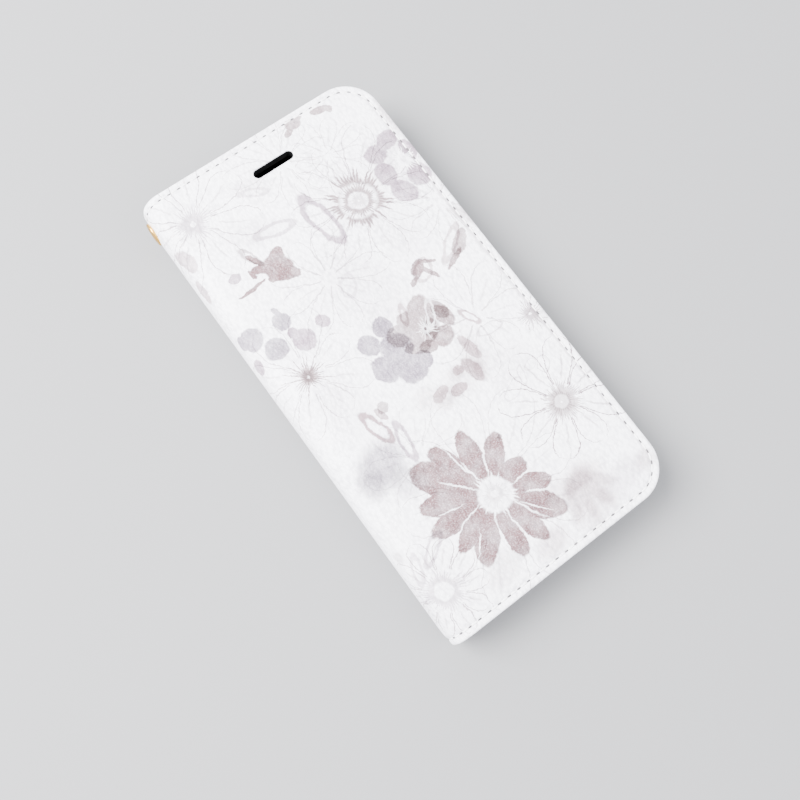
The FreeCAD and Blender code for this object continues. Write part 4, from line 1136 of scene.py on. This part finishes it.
liningCuts = [cover["stepRun"] * step / 10 for step in range(1, 11)]
for label, body in (("front", "front_cover"), ("back", "back_cover")):
    low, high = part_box(label + "_lining")
    flatZ = low.z if label == "front" else high.z - cover["liningThickness"]
    startZ = high.z - cover["liningThickness"] if label == "front" else low.z
    piece = flatSheet(label + "LiningSheet", Vector((low.x, low.y, flatZ)), high, cover["liningCorner"],
                      [low.x + cut for cut in liningCuts])
    for point in piece.data.vertices:
        share = max(0.0, 1 - (point.co.x - low.x) / cover["stepRun"])
        point.co.z += (startZ - flatZ) * share * share * (3 - 2 * share)
    thicken(piece, cover["liningThickness"])
    if label == "front":
        centre = Vector((slot["centre"].x, slot["centre"].y, flatZ))
        cutPill(piece, slot["length"], slot["width"], centre, 0.1 * mm)
    else:
        centre = Vector((camera["centre"].x, camera["centre"].y, flatZ))
        cutPill(piece, camera["length"], camera["width"], centre, 0.1 * mm)
    smoothShade(piece, 40)
    setMaterial(piece, liningLeatherette)
    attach(piece, body)
    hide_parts(label + "_lining")

for node in ("bill_pocket", "card_pocket_1", "card_pocket_2", "card_pocket_3"):
    low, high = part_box(node)
    words = node.split("_")
    name = words[0] + "".join(word.title() for word in words[1:])
    spots = [low.x + offset * mm for offset in (0.6, 1.2, 1.5, 1.8, 3.0, 5.0, 8.0)]
    piece = flatSheet(name, low, high, cover["sheetCorner"], spots)
    middle, half = (low.y + high.y) / 2, (high.y - low.y) / 2
    for point in piece.data.vertices:
        inward = point.co.x - low.x
        bow = 1 - ((point.co.y - middle) / half) ** 2
        point.co.z -= cover["mouthLift"] * max(0.0, bow) * math.exp(-(inward / cover["mouthReach"]) ** 2)
        if abs(inward - cover["hem"]) < 0.1 * mm:
            point.co.z += cover["hemDepth"]
    thicken(piece, high.z - low.z)
    smoothShade(piece, 40)
    setMaterial(piece, liningLeatherette)
    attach(piece, "front_cover")
    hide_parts(node)

# Two sewn rows across the card pockets, each on the sheet that shows there.
walletParts = []
walletHoleParts = []
cardLow = [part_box(f"card_pocket_{number}")[0] for number in (1, 2, 3)]
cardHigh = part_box("card_pocket_1")[1]
for number, low in enumerate(cardLow):
    end = cardLow[number + 1].x if number < 2 else cardHigh.x
    for y in (low.y + sewing["inset"], cardHigh.y - sewing["inset"]):
        row = [Vector((low.x, y)), Vector((end, y))]
        threadZ = low.z - sewing["walletHeight"]
        walletParts += sew(oneThread, row, 0.0, 0.0,
                           lambda x, across, depth: Vector((x, across, threadZ + depth)))
        walletHoleParts += sew(oneHole, row, 0.5, 0.0,
                               lambda x, across, depth: Vector((x, across, low.z + depth)))
for parts, name, look in ((walletParts, "walletThread", thread),
                          (walletHoleParts, "walletHoles", needleShade)):
    piece = joinPieces(parts, name)
    openMesh(piece)
    bpy.ops.mesh.select_all(action="SELECT")
    bpy.ops.mesh.flip_normals()
    closeMesh()
    smoothShade(piece, 60)
    setMaterial(piece, look)
    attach(piece, "front_cover")
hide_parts("pocket_stitching")
for part in (oneThread, oneHole):
    bpy.data.objects.remove(part)
print("linings and wallet made")

# A dark sleeve lines the walls of the earpiece slot: painted shade, so the slot looks black inside.
shadeSleeve = {
    "wall": 0.15 * mm,
    "below": 0.25 * mm,           # stops this far under the outside of the cover
}
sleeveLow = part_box("front_lining")[0].z
sleeveHigh = topZ - shadeSleeve["below"]
bpy.ops.mesh.primitive_cube_add(
    size=1, location=(slot["centre"].x, slot["centre"].y, (sleeveLow + sleeveHigh) / 2))
slotShadeSleeve = bpy.context.object
slotShadeSleeve.scale = (slot["length"], slot["width"], sleeveHigh - sleeveLow)
settle(slotShadeSleeve, "slotShadeSleeve")
openMesh(slotShadeSleeve)
pickEdges(slotShadeSleeve, lambda edge: abs(edge.verts[0].co.z - edge.verts[1].co.z) > mm)
bpy.ops.mesh.bevel(offset=slot["width"] / 2 * 0.999, segments=12, affect="EDGES")
bpy.ops.mesh.select_mode(type="FACE")
mesh = bmesh.from_edit_mesh(slotShadeSleeve.data)
for face in mesh.faces:
    face.select_set(abs(face.normal.z) > 0.9)
bpy.ops.mesh.delete(type="ONLY_FACE")
closeMesh()
applyModifier(slotShadeSleeve, "SOLIDIFY", thickness=shadeSleeve["wall"], offset=-0.9)
smoothShade(slotShadeSleeve, 40)
# the tray's black finish gives the painted shade inside the slot
setMaterial(slotShadeSleeve, trayPlastic)
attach(slotShadeSleeve, "front_cover")

# Parts carried over from the frame get their finishes.
finishes = {
    "phone_tray": trayPlastic,
    "tray_adhesive": adhesive,
    "front_board": greyboard,
    "back_board": greyboard,
    "spine_strip": greyboard,
    "front_foam": foam,
    "front_magnets": platedSteel,
    "back_keeper_plates": platedSteel,
    "eyelet_washer": goldMetal,
}
for node, look in finishes.items():
    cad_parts[node].data.materials.clear()
    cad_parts[node].data.materials.append(look)

# Floor, lights and camera.
bpy.ops.mesh.primitive_plane_add(size=60, location=(0, 0, -0.00005))
floor = bpy.context.object
floor.name = "floor"
floorMaterial, _, floorShader = newMaterial("paleFloor")
floorShader.inputs["Base Color"].default_value = (0.21, 0.21, 0.215, 1)
floorShader.inputs["Roughness"].default_value = 0.9
floor.data.materials.append(floorMaterial)

lighting = {
    "key": {"at": (-0.42, 0.30, 0.62), "size": 0.5, "watts": 47.0},
    "fill": {"at": (0.55, -0.45, 0.6), "size": 0.9, "watts": 11.0},
    "sky": 2.85,
}
for name in ("key", "fill"):
    values = lighting[name]
    bpy.ops.object.light_add(type="AREA", location=values["at"])
    lamp = bpy.context.object
    lamp.name = name
    lamp.data.size = values["size"]
    lamp.data.energy = values["watts"]
    lamp.rotation_euler = (-Vector(values["at"])).to_track_quat("-Z", "Y").to_euler()
world = bpy.data.worlds.new("softSky")
world.use_nodes = True
world.node_tree.nodes["Background"].inputs[0].default_value = (0.93, 0.95, 1.0, 1)
world.node_tree.nodes["Background"].inputs[1].default_value = lighting["sky"]
bpy.context.scene.world = world

viewpoint = {
    "at": Vector((-49.87, -45.32, 228.31)) * mm,
    "forward": Vector((0.18158, 0.14569, -0.97252)),
    "right": Vector((0.80241, -0.59366, 0.06089)),
    "lens": 37.07,
}
bpy.ops.object.camera_add(location=viewpoint["at"])
viewCamera = bpy.context.object
right = viewpoint["right"].normalized()
back = -viewpoint["forward"].normalized()
up = back.cross(right)
viewCamera.rotation_euler = Matrix((right, up, back)).transposed().to_euler()
viewCamera.data.lens = viewpoint["lens"]
viewCamera.data.sensor_width = 36.0
viewCamera.data.clip_start = 0.01
bpy.context.scene.camera = viewCamera
print("stage and camera made")
